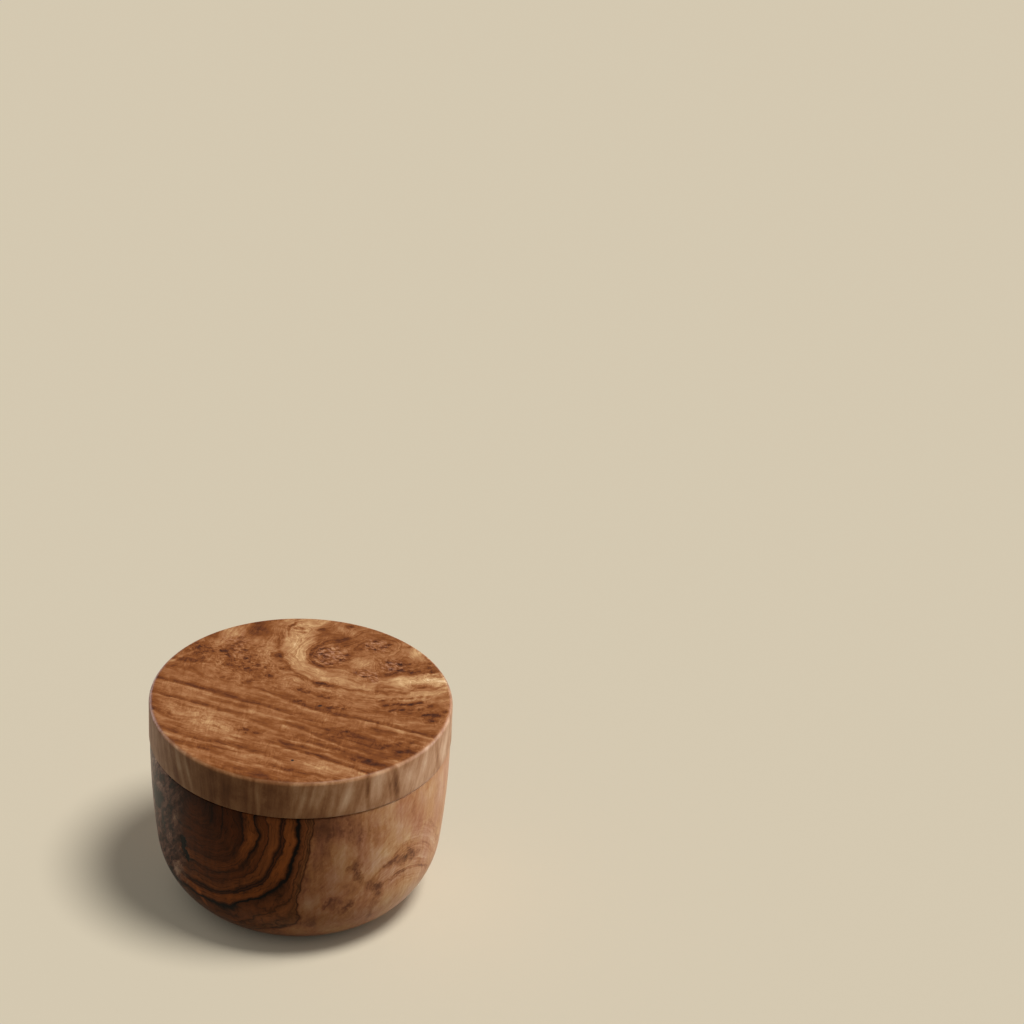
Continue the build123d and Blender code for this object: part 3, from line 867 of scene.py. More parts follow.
def corner_field(slope_across, level_off, slope_start, corner_round):
    """Upright lines that turn a corner and slope off to the left, then run level."""
    level = add(tree, "ShaderNodeMath", [leaning, level_off, level_round], operation="SMOOTH_MAX")
    sloping = add(tree, "ShaderNodeMath", [level, slope_across, slope_start], operation="MULTIPLY_ADD")
    sloping = add(tree, "ShaderNodeMath", [up, slope_up, sloping], operation="MULTIPLY_ADD")
    return add(tree, "ShaderNodeMath", [leaning, sloping, corner_round], operation="SMOOTH_MAX")


# Up to the main vein the corner is high up. The last lines turn theirs near the foot, and in
# between the wood opens out.
inner_lines = corner_field(slope_across=0.61, level_off=7.0, slope_start=38.2, corner_round=9.0)
outer_lines = corner_field(slope_across=0.29, level_off=0.0, slope_start=33.8, corner_round=10.0)
beyond = add(tree, "ShaderNodeMath", [inner_lines, main_vein], operation="SUBTRACT")
between = add(tree, "ShaderNodeMath", [beyond, spread_out, main_vein], operation="MULTIPLY_ADD")
outside = add(tree, "ShaderNodeMath", [between, outer_lines, 3.0], operation="SMOOTH_MAX")
vein_field = add(tree, "ShaderNodeMath", [inner_lines, outside, 0.2], operation="SMOOTH_MIN")
print("bowl: the main vein lies", main_vein, "mm to the right of the heart")

# %% [markdown]
# ### The veins
# Each vein is a stop of a colour ramp, at its distance from the heart in millimetres: a dark stop
# between two near neighbours is a line. A ramp holds 32 stops at most, so there are two, which meet
# just outside the main vein. Real veins swell and thin out, so two noises move the field a little.

# %% Bowl wood: the heart's veins
veins = [
    (-6.0, "#3A1B10"), (0.4, "#41200F"), (1.1, "#2A130B"), (1.7, "#472210"), (4.2, "#4E2610"),
    (4.6, "#1E0E08"), (5.1, "#522811"), (8.5, "#5E2F14"), (10.6, "#46220F"), (11.0, "#140A07"),
    (11.4, "#66361A"), (12.6, "#8E4F24"), (14.7, "#824720"), (15.3, "#150B07"), (15.7, "#3A1C0D"),
    (16.6, "#6E3B1A"), (18.6, "#6B381A"), (18.9, "#2C1409"), (19.3, "#7C4521"), (21.8, "#844A23"),
    (22.5, "#4A2510"), (22.9, "#1A0C07"), (23.3, "#5A2E15"), (23.7, "#2C150A"), (24.2, "#84481F"),
    (26.6, "#8A4C22"), (27.3, "#5A2E12"), (27.75, "#0B0504"), (28.4, "#0D0604"), (28.8, "#5E3318"),
    (29.9, "#7A4524"), (30.15, "#46260F"), (30.4, "#7E4A28"), (30.95, "#7A4827"), (31.1, "#4A2A14"),
    (31.3, "#86542F"), (31.6, "#6E4224"), (31.8, "#3C200F"), (32.1, "#7F4B2A"), (46.0, "#7F4B2A"),
]
shared_stop = 30
first, last = veins[0][0], veins[-1][0]
stops = [((far - first) / (last - first), linear(brown)) for far, brown in veins]

swell = add(tree, "ShaderNodeTexNoise", {"Vector": wood, "Scale": 0.09, "Detail": 3.0})
shake = add(tree, "ShaderNodeTexNoise", {"Vector": wood, "Scale": 0.5, "Detail": 3.0})
vein_at = add_up(tree, vein_field, [(swell, 0.5, 1.8), (shake, 0.5, 0.8)])
vein_share = add(tree, "ShaderNodeMapRange", {"Value": vein_at, "From Min": first, "From Max": last})
heart = add(tree, "ShaderNodeValToRGB", [vein_share], stops=stops[: shared_stop + 1])
outer_heart = add(tree, "ShaderNodeValToRGB", [vein_share], stops=stops[shared_stop:])
past_vein = add(tree, "ShaderNodeMath", [vein_share, stops[shared_stop][0]], operation="GREATER_THAN")
heart = add(tree, "ShaderNodeMix", [past_vein, heart, outer_heart], data_type="RGBA")
print("bowl:", len(veins), "vein stops from", first, "to", last, "mm")

# %% [markdown]
# ### Patterns that the bowl's woods share
# Fine growth lines follow the same field as the veins. Fibre stands upright, clouds and mottles
# change the tone freely, and two noises are drawn out along a slope, like brush strokes: shreds in
# the torn wood at the left, and broken strokes in the pale wood at the right.

# %% Bowl wood: shared patterns
fine_along, fine_inwards = 0.06, 0.03
fine_at = [
    vein_field,
    add(tree, "ShaderNodeMath", [up, fine_along], operation="MULTIPLY"),
    add(tree, "ShaderNodeMath", [deep_in, fine_inwards], operation="MULTIPLY"),
]
fine_at = add(tree, "ShaderNodeCombineXYZ", fine_at)
fine = {"Vector": fine_at, "Scale": 1.3, "Detail": 4.0, "Roughness": 0.7}
fine = add(tree, "ShaderNodeTexNoise", fine)
fibre = drawn_out(tree, bent, (1.3, 1.3, 26), Detail=4.0, Roughness=0.62)
cloud = add(tree, "ShaderNodeTexNoise", {"Vector": bent, "Scale": 0.07, "Detail": 5.0, "Roughness": 0.62})
mottle = drawn_out(tree, bent, (3.2, 3.2, 8), Detail=5.0, Roughness=0.65)


def strokes(azimuth, slope, sizes, **noise):
    """A noise drawn out along a slope of the wall that faces this azimuth, both in degrees."""
    facing = {"Vector": bent, "Rotation": (0, 0, math.radians(azimuth))}
    facing = add(tree, "ShaderNodeMapping", facing, vector_type="TEXTURE")
    return drawn_out(tree, facing, sizes, turn=(0, math.radians(slope), 0), Roughness=0.7, **noise)


shreds = strokes(-58, 42, (1.7, 3.5, 8.0), Detail=5.0)
broken = strokes(35, 35, (1.1, 3.0, 9.0), Detail=4.0)

unrolled = unroll(tree, bent)
unrolled_at = add(tree, "ShaderNodeSeparateXYZ", [unrolled]).outputs
degrees, height_here = unrolled_at["X"], unrolled_at["Y"]
rough = wander(tree, wood, 0.4, (9.0, 6.5, 0.0), Detail=4.0, Roughness=0.7)
rough_unrolled = add(tree, "ShaderNodeVectorMath", [unrolled, rough], operation="ADD")
radius = from_axis(tree, wood)
height_up = add(tree, "ShaderNodeSeparateXYZ", [wood]).outputs["Z"]
print("bowl: nodes so far:", len(tree.nodes))

# %% [markdown]
# ### The torn wood and the crack
# The wood left of the heart has no growth lines to follow: it tore and was filled by dark sap as
# the tree grew. It gets a ramp of its own, read by a cloudy tone with patches given one by one, at
# their azimuth in degrees from the view's middle and their height in millimetres. It lies near the
# skin, so it thins out towards the hollow.

# %% Bowl wood: the torn wood
torn_marks = [
    # blue-black lines and patch
    (-45.7, 53.6, 7, 1.3, 42, -0.62), (-54.3, 45.7, 8, 1.5, 46, -0.62), (-68, 43.5, 10, 4.5, 24, -0.94),
    (-58, 55, 12, 3, 30, -0.25), (-63, 50, 10, 2.5, 35, 0.28), (-76, 51, 9, 6, 20, 0.25),
    (-50, 41, 3, 6, 0, 0.12),
    # pale flecks below, and dark lines near the foot
    (-57, 34, 5, 3, 30, 0.38), (-54, 22, 6, 6, 40, 0.43), (-49, 26, 3, 5, -20, 0.31),
    (-46, 19.5, 2, 5, 30, 0.43), (-60, 27, 5, 4, 20, 0.25), (-50, 15.8, 12, 1.5, 2, -0.62),
    (-62, 17, 8, 1.6, 30, -0.38), (-50, 8, 18, 5, 0, -0.25), (-70, 30, 6, 8, 40, 0.12),
    # two wide, paler places on the way to the back
    (-100, 35, 26, 22, 0, 0.15), (-135, 28, 24, 18, 20, 0.2),
]
torn_browns = [
    (0.0, "#08080B"), (0.2, "#1D1413"), (0.4, "#462D22"), (0.6, "#755040"), (0.8, "#9C765E"),
    (1.0, "#CBA585"),
]
crack_marks = [(-46.8, 37.6, 2.8, 3.0, 15, 1.3), (-45.2, 33.6, 2.7, 6.8, 14, 1.6)]
under_floor = floor_height - 0.5

torn_tone = patches(tree, rough_unrolled, torn_marks, 0.50)
torn_tone = add_up(tree, torn_tone, [(cloud, 0.5, 1.1), (mottle, 0.5, 1.0), (shreds, 0.5, 1.6)])
stops = [(share, linear(brown)) for share, brown in torn_browns]
torn = add(tree, "ShaderNodeValToRGB", [torn_tone], stops=stops)

# It keeps to the skin, to the side that the heart faces, and to the left of the heart.
skin = add_up(tree, radius, [(mottle, 0, 9.0)])
skin = {"Value": skin, "From Min": 44.5, "From Max": 49.5}
skin = add(tree, "ShaderNodeMapRange", skin, interpolation_type="SMOOTHSTEP")
below_floor = add(tree, "ShaderNodeMath", [height_up, under_floor], operation="LESS_THAN")
skin = add(tree, "ShaderNodeMath", [skin, below_floor], operation="MAXIMUM")
torn_deep = {"Value": add_up(tree, deep_in, [(cloud, 0, 24.0)]), "From Min": 1.0, "From Max": -8.0}
torn_deep = add(tree, "ShaderNodeMapRange", torn_deep, interpolation_type="SMOOTHSTEP")
torn_share = add_up(tree, across, [(mottle, 0, 10.0), (cloud, 0, 12.0)])
torn_share = {"Value": torn_share, "From Min": 3.0, "From Max": -9.0}
torn_share = add(tree, "ShaderNodeMapRange", torn_share, interpolation_type="SMOOTHSTEP")
for share in (torn_deep, skin):
    torn_share = add(tree, "ShaderNodeMath", [torn_share, share], operation="MULTIPLY")
not_torn = add(tree, "ShaderNodeMath", [1.0, torn_share], operation="SUBTRACT")
crack_and_shade = add_up(tree, patches(tree, rough_unrolled, crack_marks), [(shreds, 0, 0.5)])
crack_and_shade = add(tree, "ShaderNodeMapRange", {"Value": crack_and_shade, "From Min": 0.7, "From Max": 0.9})
crack_and_shade = add(tree, "ShaderNodeMath", [crack_and_shade, skin], operation="MULTIPLY")
print("bowl:", len(torn_marks), "marks in the torn wood")

# %% [markdown]
# ### The dark side put together
# The torn wood is laid over the veins. The middle of the heart is plain, with hardly a vein. Then
# the whole is lightened and darkened: by clouds, by fine lines, by a pale streak of sound wood that
# crosses the veins, and by hair-thin dark lines. Those run where a noise that is drawn out along
# the veins crosses its middle, which is a thin line that never ends.

# %% Bowl wood: the heart and the torn wood together
plain_places = [(-29, 38, 14, 13, 0, 2.2), (-38, 45, 9, 14, 0, 1.4)]
heart_marks = [
    (-30, 40, 12, 12, 0, -0.10), (-38, 46, 8, 14, 0, 0.22), (-22, 38, 7, 14, -10, -0.10),
    (-36, 26, 10, 5, 0, -0.12), (-30, 12, 18, 5, 0, -0.25), (-24, 22.5, 6, 1.6, 20, 0.35),
    (-15, 52, 2, 7, 0, 0.25), (-4, 44, 13, 16, 0, 0.28), (-2, 20, 14, 10, 0, 0.15),
    # the pale streak
    (-38.4, 16.0, 2.0, 5.6, 18, 2.4),
]
hair_along = 0.12
dark_side = add(tree, "ShaderNodeMix", [torn_share, heart, torn], data_type="RGBA")
plain = patches(tree, unrolled, plain_places, most=0.55)
plain = add(tree, "ShaderNodeMath", [plain, not_torn], operation="MULTIPLY")
dark_side = add(tree, "ShaderNodeMix", [plain, dark_side, linear("#66361A")], data_type="RGBA")

hairs_at = [
    vein_at,
    add(tree, "ShaderNodeMath", [across, hair_along], operation="MULTIPLY"),
    add(tree, "ShaderNodeMath", [up, hair_along], operation="MULTIPLY"),
]
hairs_at = add(tree, "ShaderNodeCombineXYZ", hairs_at)
hairs = {"Vector": hairs_at, "Scale": 0.55, "Detail": 2.0, "Roughness": 0.6}
hairs = add(tree, "ShaderNodeTexNoise", hairs)
hairs = add(tree, "ShaderNodeMath", [hairs, 0.5], operation="SUBTRACT")
hairs = add(tree, "ShaderNodeMath", [hairs], operation="ABSOLUTE")
hairs = {"Value": hairs, "From Min": 0.0, "From Max": 0.035, "To Min": -0.5, "To Max": 0.0}
hairs = add(tree, "ShaderNodeMapRange", hairs)
heart_light = patches(tree, unrolled, heart_marks, 1.12)
heart_patterns = [(mottle, 0.5, 1.2), (fine, 0.5, 1.7), (fibre, 0.5, 0.8), (hairs, 0, 1.0)]
heart_light = add_up(tree, heart_light, heart_patterns)
heart_light = add(tree, "ShaderNodeMath", [heart_light, 0.2], operation="MAXIMUM")
heart_light = add(tree, "ShaderNodeMix", [torn_share, heart_light, 1.0], data_type="FLOAT")
dark_side = add(tree, "ShaderNodeVectorMath", {0: dark_side, "Scale": heart_light}, operation="SCALE")
# The crack is painted nearly black: painted shade, the dark inside the groove.
dark_side = add(tree, "ShaderNodeMix", [crack_and_shade, dark_side, linear("#060606")], data_type="RGBA")
print("bowl:", len(heart_marks), "light and dark places in the heart")

# %% [markdown]
# ### The paler wood
# To the right the lines make arches, as where a saw cuts a growth cone along its slope. Their
# field is the height plus a share of the squared distance from the arch's middle. Smudges, where
# the wood took up dark sap, are broken up by the strokes, or they would look airbrushed.

# %% Bowl wood: arches and smudges on the paler side
arch_middle, arch_round, arch_along = 50.0, 30.0, 0.06
# Round the wall a degree is 0.864 mm.
mm_per_degree = 0.864
arches = [
    (22.0, 0.5), (24.6, 0.42), (26.0, 0.60), (28.0, 0.24), (29.4, 0.60), (30.8, 0.36), (32.4, 0.58),
    (34.6, 0.44), (36.6, 0.16), (37.6, 0.22), (39.0, 0.56), (41.0, 0.68), (43.0, 0.56), (44.2, 0.42),
    (46.0, 0.56), (48.0, 0.5),
]
smudges = [
    # the eye of the arches and the lines that run out from it
    (43.5, 33.8, 7.7, 2.2, 0, -0.34), (52, 33, 8.8, 3, -16, -0.52), (48, 31.6, 6.6, 1.4, -8, -0.26),
    (48, 27, 13.2, 1.2, 0, -0.26), (63.5, 23.2, 9.9, 1.4, -31, -0.26), (76, 28, 9.9, 1.6, -49, -0.22),
    (68, 38, 8.8, 1.4, -44, -0.22), (52, 38.6, 14.3, 1.2, -4, -0.16),
    # a broken line down from the left of it
    (25.7, 37, 3.1, 4.9, 10, -0.42), (27.8, 32, 5.5, 2.2, -55, -0.26), (34.3, 27.5, 6.6, 2.2, -19, -0.28),
    (36.6, 23, 3.4, 5.5, -14, -0.4), (35.4, 15.5, 2.3, 6.6, 4, -0.26), (25, 21.8, 1.7, 4.4, -40, -0.36),
    (15.3, 23.3, 1.7, 4.4, -35, -0.28), (20, 24.8, 5.5, 1.5, -13, -0.26), (18, 22.6, 4.4, 3.5, 0, -0.14),
    # fine streaks under the rim
    (11.5, 53, 2.9, 11, 0, -0.22), (15.5, 52, 3.1, 13.2, 0, -0.26), (19.5, 53, 2.3, 11, 0, -0.24),
    (24, 52, 2.6, 9.9, 0, -0.24), (27.5, 50, 2.1, 11, 0, -0.24), (31, 53, 2.1, 8.8, 0, -0.18),
    (34.5, 50, 2.1, 9.9, 0, -0.12), (38, 52, 1.3, 8.8, 0, -0.1), (69, 52, 3.9, 8.8, 10, -0.12),
]
low, high = arches[0][0], arches[-1][0]
stops = [((far - low) / (high - low), grey(tone)) for far, tone in arches]

aside = add(tree, "ShaderNodeMath", [degrees, arch_middle], operation="SUBTRACT")
aside = add(tree, "ShaderNodeMath", [aside, mm_per_degree], operation="MULTIPLY")
arch_field = add(tree, "ShaderNodeMath", [aside, aside], operation="MULTIPLY")
arch_field = [arch_field, 1 / arch_round, height_here]
arch_field = add(tree, "ShaderNodeMath", arch_field, operation="MULTIPLY_ADD")
arch = add(tree, "ShaderNodeMapRange", {"Value": arch_field, "From Min": low, "From Max": high})
arch = add(tree, "ShaderNodeValToRGB", [arch], stops=stops)
arch_lines = add(tree, "ShaderNodeMath", [aside, arch_along], operation="MULTIPLY")
arch_lines = add(tree, "ShaderNodeCombineXYZ", [arch_field, arch_lines, 0.0])
arch_lines = {"Vector": arch_lines, "Scale": 1.0, "Detail": 4.0, "Roughness": 0.65}
arch_lines = add(tree, "ShaderNodeTexNoise", arch_lines)
arch_tone = add_up(tree, 0.0, [(arch, 0.5, 0.34), (arch_lines, 0.5, 0.7)])
arch_there = patches(tree, unrolled, [(54, 32, 30, 15, -14, 1.8)], most=1.0)
smudge = patches(tree, rough_unrolled, smudges)
smudge_share = {"Value": broken, "From Min": 0.36, "From Max": 0.64, "To Min": 0.25, "To Max": 1.0}
smudge_share = add(tree, "ShaderNodeMapRange", smudge_share)
smudge = add(tree, "ShaderNodeMath", [smudge, smudge_share], operation="MULTIPLY")
print("bowl:", len(arches), "stops in the arches,", len(smudges), "smudges")

# %% Bowl wood: the paler side's tone and colours
pale_marks = [
    (14.5, 54, 8, 10, 0, -0.10), (14, 43, 7, 7, 0, -0.10), (10, 13.5, 4, 8, 0, -0.12),
    (9, 24.5, 4, 5, 0, 0.14), (8, 5, 22, 4, 0, -0.12), (21, 42, 2, 12, 0, 0.08), (29, 8, 14, 7, 0, -0.04),
    (45, 50, 10, 7, 0, 0.10), (60, 52, 10, 7, 0, 0.04), (54, 18, 18, 8, 0, 0.06),
    (36, 41, 6, 5, 20, 0.10), (60, 20, 30, 30, 0, 0.04), (43, 18, 4, 7, 0, 0.10),
    (130, 34, 24, 14, 20, -0.14), (100, 25, 14, 16, -20, 0.10),
]
# The pale wood's browns are paler and greyer than the bare wood: partly its own colour, and partly
# painted sheen, the veil that the lamps on the right lay over the wall.
pale_browns_and_sheen = [
    (0.0, "#2A1810"), (0.2, "#54321F"), (0.38, "#86573B"), (0.52, "#AE7952"), (0.66, "#C0946E"),
    (0.84, "#D2B292"), (1.0, "#E2CCB4"),
]
# Beside the heart the pale wood is a little darker.
near_heart = {"Value": vein_at, "From Min": 32.0, "From Max": 40.0, "To Min": -0.14, "To Max": 0.0}
near_heart = add(tree, "ShaderNodeMapRange", near_heart)
pale_patterns = [
    (near_heart, 0, 1.0),
    (smudge, 0, 1.0),
    (arch_tone, 0, arch_there),
    (cloud, 0.5, 0.62),
    (mottle, 0.5, 0.10),
    (fibre, 0.5, 0.30),
    (broken, 0.5, 0.28),
]
pale_tone = add_up(tree, patches(tree, unrolled, pale_marks, 0.58), pale_patterns)
stops = [(share, linear(brown)) for share, brown in pale_browns_and_sheen]
pale = add(tree, "ShaderNodeValToRGB", [pale_tone], stops=stops)
sappy = {"Value": smudge, "From Min": 0.0, "From Max": -0.5, "To Max": 0.5}
sappy = add(tree, "ShaderNodeMapRange", sappy)
pale = add(tree, "ShaderNodeMix", [sappy, pale, linear("#6A4B3B")], data_type="RGBA")
# The hue drifts too, from golden to purplish brown.
hue = drawn_out(tree, bent, (9, 9, 16), shift=(-279, -63, -48), Detail=4.0, Roughness=0.6)
hue = add(tree, "ShaderNodeMapRange", {"Value": hue, "From Min": 0.38, "From Max": 0.62})
hue = add(tree, "ShaderNodeMix", [hue, linear("#FFF5DC"), linear("#FAECE8")], data_type="RGBA")
pale = add(tree, "ShaderNodeMix", [1.0, pale, hue], data_type="RGBA", blend_type="MULTIPLY")

out_of_heart = {"Value": vein_at, "From Min": 31.8, "From Max": 32.6}
out_of_heart = add(tree, "ShaderNodeMapRange", out_of_heart, interpolation_type="SMOOTHSTEP")
out_of_heart = add(tree, "ShaderNodeMath", [out_of_heart, not_torn], operation="MULTIPLY")
colour = add(tree, "ShaderNodeMix", [out_of_heart, dark_side, pale], data_type="RGBA")
print("bowl: patterns in the paler side's tone:", len(pale_patterns))

# %% [markdown]
# ### The hollow, the foot and the finish
# Outside, the bowl was sanded and oiled: its sheen is sharper than the lid's, but weaker. The
# hollow and the underside keep the rings of the turning tool, about 0.8 mm apart, and are drier:
# duller, and a little darker, ring by ring. The crack is a groove, and its near-black colour is
# painted shade, the dark inside the groove. As on the lid, the pores are drawn a few times wider
# than real ones, or the bump wouldn't show.

# %% Bowl wood: tool rings, crack and oil
tool_step = 0.8
under_foot = 0.4
hollow_wall = {"Value": radius, "From Min": mouth_radius + 1.5, "From Max": mouth_radius - 0.1}
hollow_wall = add(tree, "ShaderNodeMapRange", hollow_wall)
above_floor = add(tree, "ShaderNodeMath", [height_up, under_floor], operation="GREATER_THAN")
in_hollow = add(tree, "ShaderNodeMath", [hollow_wall, above_floor], operation="MULTIPLY")
underneath = add(tree, "ShaderNodeMath", [height_up, under_foot], operation="LESS_THAN")
tooled = add(tree, "ShaderNodeMath", [in_hollow, underneath], operation="MAXIMUM")
ring_at = add(tree, "ShaderNodeMath", [radius, height_up], operation="ADD")
ring_at = add(tree, "ShaderNodeMath", [ring_at, 1 / tool_step], operation="MULTIPLY")
rings = {"W": ring_at, "Scale": 1.0, "Detail": 2.0}
rings = add(tree, "ShaderNodeTexNoise", rings, noise_dimensions="1D")
dry = add(tree, "ShaderNodeMath", [rings, 0.10, 0.86], operation="MULTIPLY_ADD")
dry = add(tree, "ShaderNodeMix", [tooled, 1.0, dry], data_type="FLOAT")
colour = add(tree, "ShaderNodeVectorMath", {0: colour, "Scale": dry}, operation="SCALE")

pores = drawn_out(tree, wood, (0.3, 0.3, 1.5), Detail=2.0)
tool_marks = add(tree, "ShaderNodeMath", [rings, tooled], operation="MULTIPLY")
height = add_up(tree, fibre, [(pores, 0, 0.6), (crack_and_shade, 0, -6.0), (tool_marks, 0, 1.6)])
spread = {"Value": mottle, "From Min": 0.2, "From Max": 0.8, "To Min": 0.28, "To Max": 0.40}
spread = add_up(tree, add(tree, "ShaderNodeMapRange", spread), [(tooled, 0, 0.2)])
oiled(tree, colour, height, spread, gloss=0.06)
print("bowl wood:", len(tree.nodes), "nodes")

# %% [markdown]
# ## The lathe
# Both wooden parts were turned: one outline, spun about the axis. So the outline is drawn once, as
# a line of points, and a Geometry Nodes tree does the lathe's work. A grid has one row for each
# point of the outline and one column for each step of the turn. Each of its points takes the place
# of its outline point and is turned about Z. Merging closes the seam and the two poles. The holes
# for the pin, the bush and the magnets are then drilled with a Boolean, and edges sharper than
# 35 degrees are marked sharp, so that the round parts shade smoothly.

# %% The lathe tree
turn_steps, bit_sides, merge_within = 240, 64, 0.001 * mm
sharp_angle = math.radians(35)


def lathe_tree(name, holes):
    """A tree that spins an outline and drills holes, with a named input for each of their sizes."""
    tree = bpy.data.node_groups.new(name, "GeometryNodeTree")
    panel = tree.interface
    panel.new_socket("Outline", in_out="INPUT", socket_type="NodeSocketGeometry")
    steps = panel.new_socket("Steps", in_out="INPUT", socket_type="NodeSocketInt")
    steps.default_value = turn_steps
    sharp_above = panel.new_socket("Sharp above", in_out="INPUT", socket_type="NodeSocketFloat")
    sharp_above.default_value = sharp_angle
    for hole in holes:
        panel.new_socket(hole + " radius", in_out="INPUT", socket_type="NodeSocketFloat")
        panel.new_socket(hole + " length", in_out="INPUT", socket_type="NodeSocketFloat")
        panel.new_socket(hole + " middle", in_out="INPUT", socket_type="NodeSocketVector")
    panel.new_socket("Wood", in_out="INPUT", socket_type="NodeSocketMaterial")
    panel.new_socket("Turned", in_out="OUTPUT", socket_type="NodeSocketGeometry")
    given = add(tree, "NodeGroupInput").outputs

    size = add(tree, "GeometryNodeAttributeDomainSize", [given["Outline"]], component="MESH")
    rows = size.outputs["Point Count"]
    columns = add(tree, "FunctionNodeIntegerMath", [given["Steps"], 1], operation="ADD")
    grid = add(tree, "GeometryNodeMeshGrid", {"Vertices X": columns, "Vertices Y": rows})
    index = add(tree, "GeometryNodeInputIndex")
    row = add(tree, "FunctionNodeIntegerMath", [index, rows], operation="MODULO")
    column = add(tree, "FunctionNodeIntegerMath", [index, rows], operation="DIVIDE_FLOOR")
    place = add(tree, "GeometryNodeInputPosition")
    outline = {"Geometry": given["Outline"], "Index": row}
    outline = add(tree, "GeometryNodeSampleIndex", outline, data_type="FLOAT_VECTOR", domain="POINT")
    value = next(s for s in outline.inputs if s.enabled and s.name == "Value")
    tree.links.new(place.outputs[0], value)
    full_turn = add(tree, "ShaderNodeMath", [given["Steps"], math.tau], operation="DIVIDE")
    angle = add(tree, "ShaderNodeMath", [column, full_turn], operation="DIVIDE")
    spun = {"Vector": outline, "Angle": angle}
    spun = add(tree, "ShaderNodeVectorRotate", spun, rotation_type="Z_AXIS")
    shell = add(tree, "GeometryNodeSetPosition", {"Geometry": grid.outputs["Mesh"], "Position": spun})
    closed = add(tree, "GeometryNodeMergeByDistance", {"Geometry": shell, "Distance": merge_within})

    drilled = add(tree, "GeometryNodeMeshBoolean", {0: closed}, operation="DIFFERENCE", solver="MANIFOLD")
    for hole in holes:
        bit = {"Vertices": bit_sides, "Radius": given[hole + " radius"], "Depth": given[hole + " length"]}
        bit = add(tree, "GeometryNodeMeshCylinder", bit).outputs["Mesh"]
        moved = {"Geometry": bit, "Translation": given[hole + " middle"]}
        moved = add(tree, "GeometryNodeTransform", moved)
        tree.links.new(moved.outputs[0], drilled.inputs[1])

    bend = add(tree, "GeometryNodeInputMeshEdgeAngle")
    sharp = [bend, given["Sharp above"]]
    sharp = add(tree, "FunctionNodeCompare", sharp, data_type="FLOAT", operation="GREATER_THAN")
    smooth = {"Geometry": drilled, "Shade Smooth": True}
    smooth = add(tree, "GeometryNodeSetShadeSmooth", smooth, domain="FACE")
    marked = {"Geometry": smooth, "Selection": sharp, "Shade Smooth": False}
    marked = add(tree, "GeometryNodeSetShadeSmooth", marked, domain="EDGE")
    real = add(tree, "GeometryNodeRealizeInstances", [marked])
    finished = add(tree, "GeometryNodeSetMaterial", {"Geometry": real, "Material": given["Wood"]})
    add(tree, "NodeGroupOutput", [finished])
    return tree


print("lathe:", turn_steps, "steps round, and", bit_sides, "round a hole")

# %% A turned part from its outline and its holes
same_point = 0.005


def turned_part(name, outline, holes, wood):
    """Spin the outline, drill the holes and return a plain mesh object."""
    points = []
    for r, z in outline:
        if not points or math.dist(points[-1], (r, z)) > same_point:
            points.append((max(r, 0.0), z))
    line = bpy.data.meshes.new(name + "_outline")
    edges = [(k, k + 1) for k in range(len(points) - 1)]
    line.from_pydata([(r * mm, 0, z * mm) for r, z in points], edges, [])
    blank = bpy.data.objects.new(name + "_blank", line)
    bpy.context.scene.collection.objects.link(blank)
    lathe = blank.modifiers.new("lathe", "NODES")
    lathe.node_group = lathe_tree(name + "_lathe", list(holes))
    sizes = {"Wood": wood}
    for hole, (radius, z_low, z_high, y) in holes.items():
        sizes[hole + " radius"] = radius * mm
        sizes[hole + " length"] = (z_high - z_low) * mm
        sizes[hole + " middle"] = (0.0, y * mm, (z_high + z_low) / 2 * mm)
    for item in lathe.node_group.interface.items_tree:
        if item.in_out == "INPUT" and item.name in sizes:
            lathe[item.identifier] = sizes[item.name]
    evaluated = blank.evaluated_get(bpy.context.evaluated_depsgraph_get())
    mesh = bpy.data.meshes.new_from_object(evaluated)
    bpy.data.objects.remove(blank)

    work = bmesh.new()
    work.from_mesh(mesh)
    loose = [v for v in work.verts if not v.link_faces]
    bmesh.ops.delete(work, geom=loose, context="VERTS")
    bmesh.ops.recalc_face_normals(work, faces=work.faces)
    volume = work.calc_volume(signed=True) / mm**3 / 1000
    open_edges = sum(not e.is_manifold for e in work.edges)
    work.to_mesh(mesh)
    work.free()
    mesh.name = name
    piece = bpy.data.objects.new(name, mesh)
    bpy.context.scene.collection.objects.link(piece)
    triangles = sum(len(p.vertices) - 2 for p in mesh.polygons)
    print(f"{name}: {triangles} triangles, volume {volume:.1f} cm3, open edges {open_edges}")
    return piece


# %% [markdown]
# ## Turning the two parts
# Each part is now turned and drilled. A hole is given as its radius, its lowest and highest point,
# and how far it lies in front of the axis or behind it. The pieces that sit in the holes come with
# the solid model, so the holes are measured from them: each is a little wider than its piece, for
# the glue, and the bush's flange and its barrel have a hole each.

# %% Holes
pin_radius, _, pin_top, pivot_y = round_piece("pivot_pin")
flange_radius, bush_bottom, bush_top, _ = round_piece("pivot_bush")
magnet_radius, bowl_magnet_bottom, _, magnet_y = round_piece("bowl_magnet")
_, _, lid_magnet_top, _ = round_piece("lid_magnet")
glue_gap, flange_width, flange_thickness = 0.03, 0.9, 0.8
end_room, drill_past = 0.5, 1.0

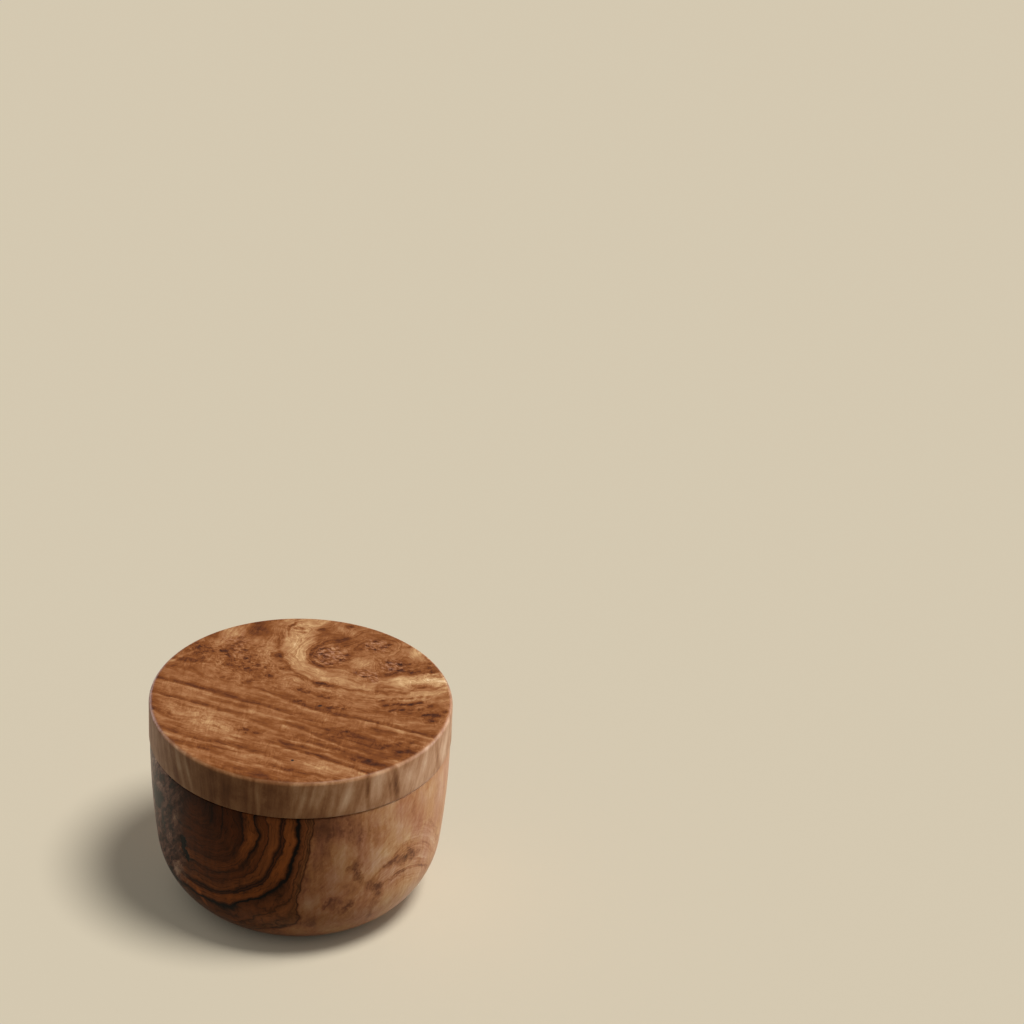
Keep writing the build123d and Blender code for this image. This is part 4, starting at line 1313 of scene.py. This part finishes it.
barrel_hole = round(flange_radius - flange_width + glue_gap, 2)
flange_hole = round(flange_radius + glue_gap, 2)
magnet_hole = round(magnet_radius + glue_gap, 2)
pin_hole = round(pin_radius + glue_gap, 2)
above_rim, below_lid = bowl_height + drill_past, bowl_height - drill_past
bowl_holes = {
    "Bush hole": (barrel_hole, bush_bottom - end_room, above_rim, pivot_y),
    "Bush seat": (flange_hole, bush_top - flange_thickness, above_rim, pivot_y),
    "Magnet hole": (magnet_hole, bowl_magnet_bottom, above_rim, magnet_y),
}
lid_holes = {
    "Pin hole": (pin_hole, below_lid, pin_top + end_room, pivot_y),
    "Magnet hole": (magnet_hole, below_lid, lid_magnet_top, magnet_y),
}
print("holes in the bowl:", bowl_holes)
print("holes in the lid:", lid_holes)

# %% The bowl
bowl = turned_part("turned_bowl", bowl_outline, bowl_holes, bowl_wood)
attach(bowl, "bowl_body")
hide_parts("bowl")

# %% The lid
lid = turned_part("turned_lid", lid_outline, lid_holes, lid_wood)
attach(lid, "lid_body")
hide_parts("lid")

# %% [markdown]
# ## Pin, bush and magnets
# The metal parts keep the shape that the solid model gives them, and only get a finish. The ground
# steel pin has a cold, soft shine with fine rings round it, the turned brass bush a warm one with
# slightly coarser rings, and the nickel-plated magnets are smooth and bright, with a faint yellow
# cast. A little tarnish dulls each of them in places. The rings are drawn about ten times as far
# apart as real tool marks, or they wouldn't show.

# %% Metal finishes
metals = {
    # node: name, colour, roughness, roughness change, mark spacing in mm
    "pivot_pin": ("ground_stainless_pin", "#C8C9CA", 0.28, 0.10, 0.25),
    "pivot_bush": ("turned_brass", "#D9B36A", 0.30, 0.12, 0.30),
    "bowl_magnet": ("nickel_plate", "#CFCBC2", 0.20, 0.12, 0.6),
    "lid_magnet": ("nickel_plate", "#CFCBC2", 0.20, 0.12, 0.6),
}
mark_width, tarnish_size, tarnish_shade = 3 * mm, 2.5 * mm, 0.72
made = {}
for node, (name, hex_colour, roughness, change, spacing) in metals.items():
    if name not in made:
        material, tree = new_finish(name)
        body = add(tree, "ShaderNodeTexCoord").outputs["Object"]
        marks = {"Vector": body, "Scale": (1 / mark_width, 1 / mark_width, 1 / (spacing * mm))}
        marks = add(tree, "ShaderNodeMapping", marks)
        rings = add(tree, "ShaderNodeTexNoise", {"Vector": marks, "Scale": 1.0, "Detail": 3.0})
        spread = {"Value": rings, "From Min": 0.3, "From Max": 0.7}
        spread |= {"To Min": roughness - change / 2, "To Max": roughness + change}
        spread = add(tree, "ShaderNodeMapRange", spread)
        tarnish = {"Vector": body, "Scale": 1 / tarnish_size, "Detail": 3.0}
        tarnish = add(tree, "ShaderNodeTexNoise", tarnish)
        tint = add(tree, "ShaderNodeMapRange", {"Value": tarnish, "From Min": 0.35, "From Max": 0.7})
        bright = linear(hex_colour)
        dull = [c * tarnish_shade for c in bright[:3]] + [1.0]
        colour = add(tree, "ShaderNodeMix", [tint, bright, dull], data_type="RGBA")
        relief = add(tree, "ShaderNodeBump", {"Height": rings, "Strength": 0.3, "Distance": 0.01 * mm})
        metal = {"Base Color": colour, "Metallic": 1.0, "Roughness": spread, "Normal": relief}
        shader = add(tree, "ShaderNodeBsdfPrincipled", metal)
        add(tree, "ShaderNodeOutputMaterial", {"Surface": shader})
        made[name] = material
    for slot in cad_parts[node].material_slots:
        slot.material = made[name]
print("metals:", sorted(made))
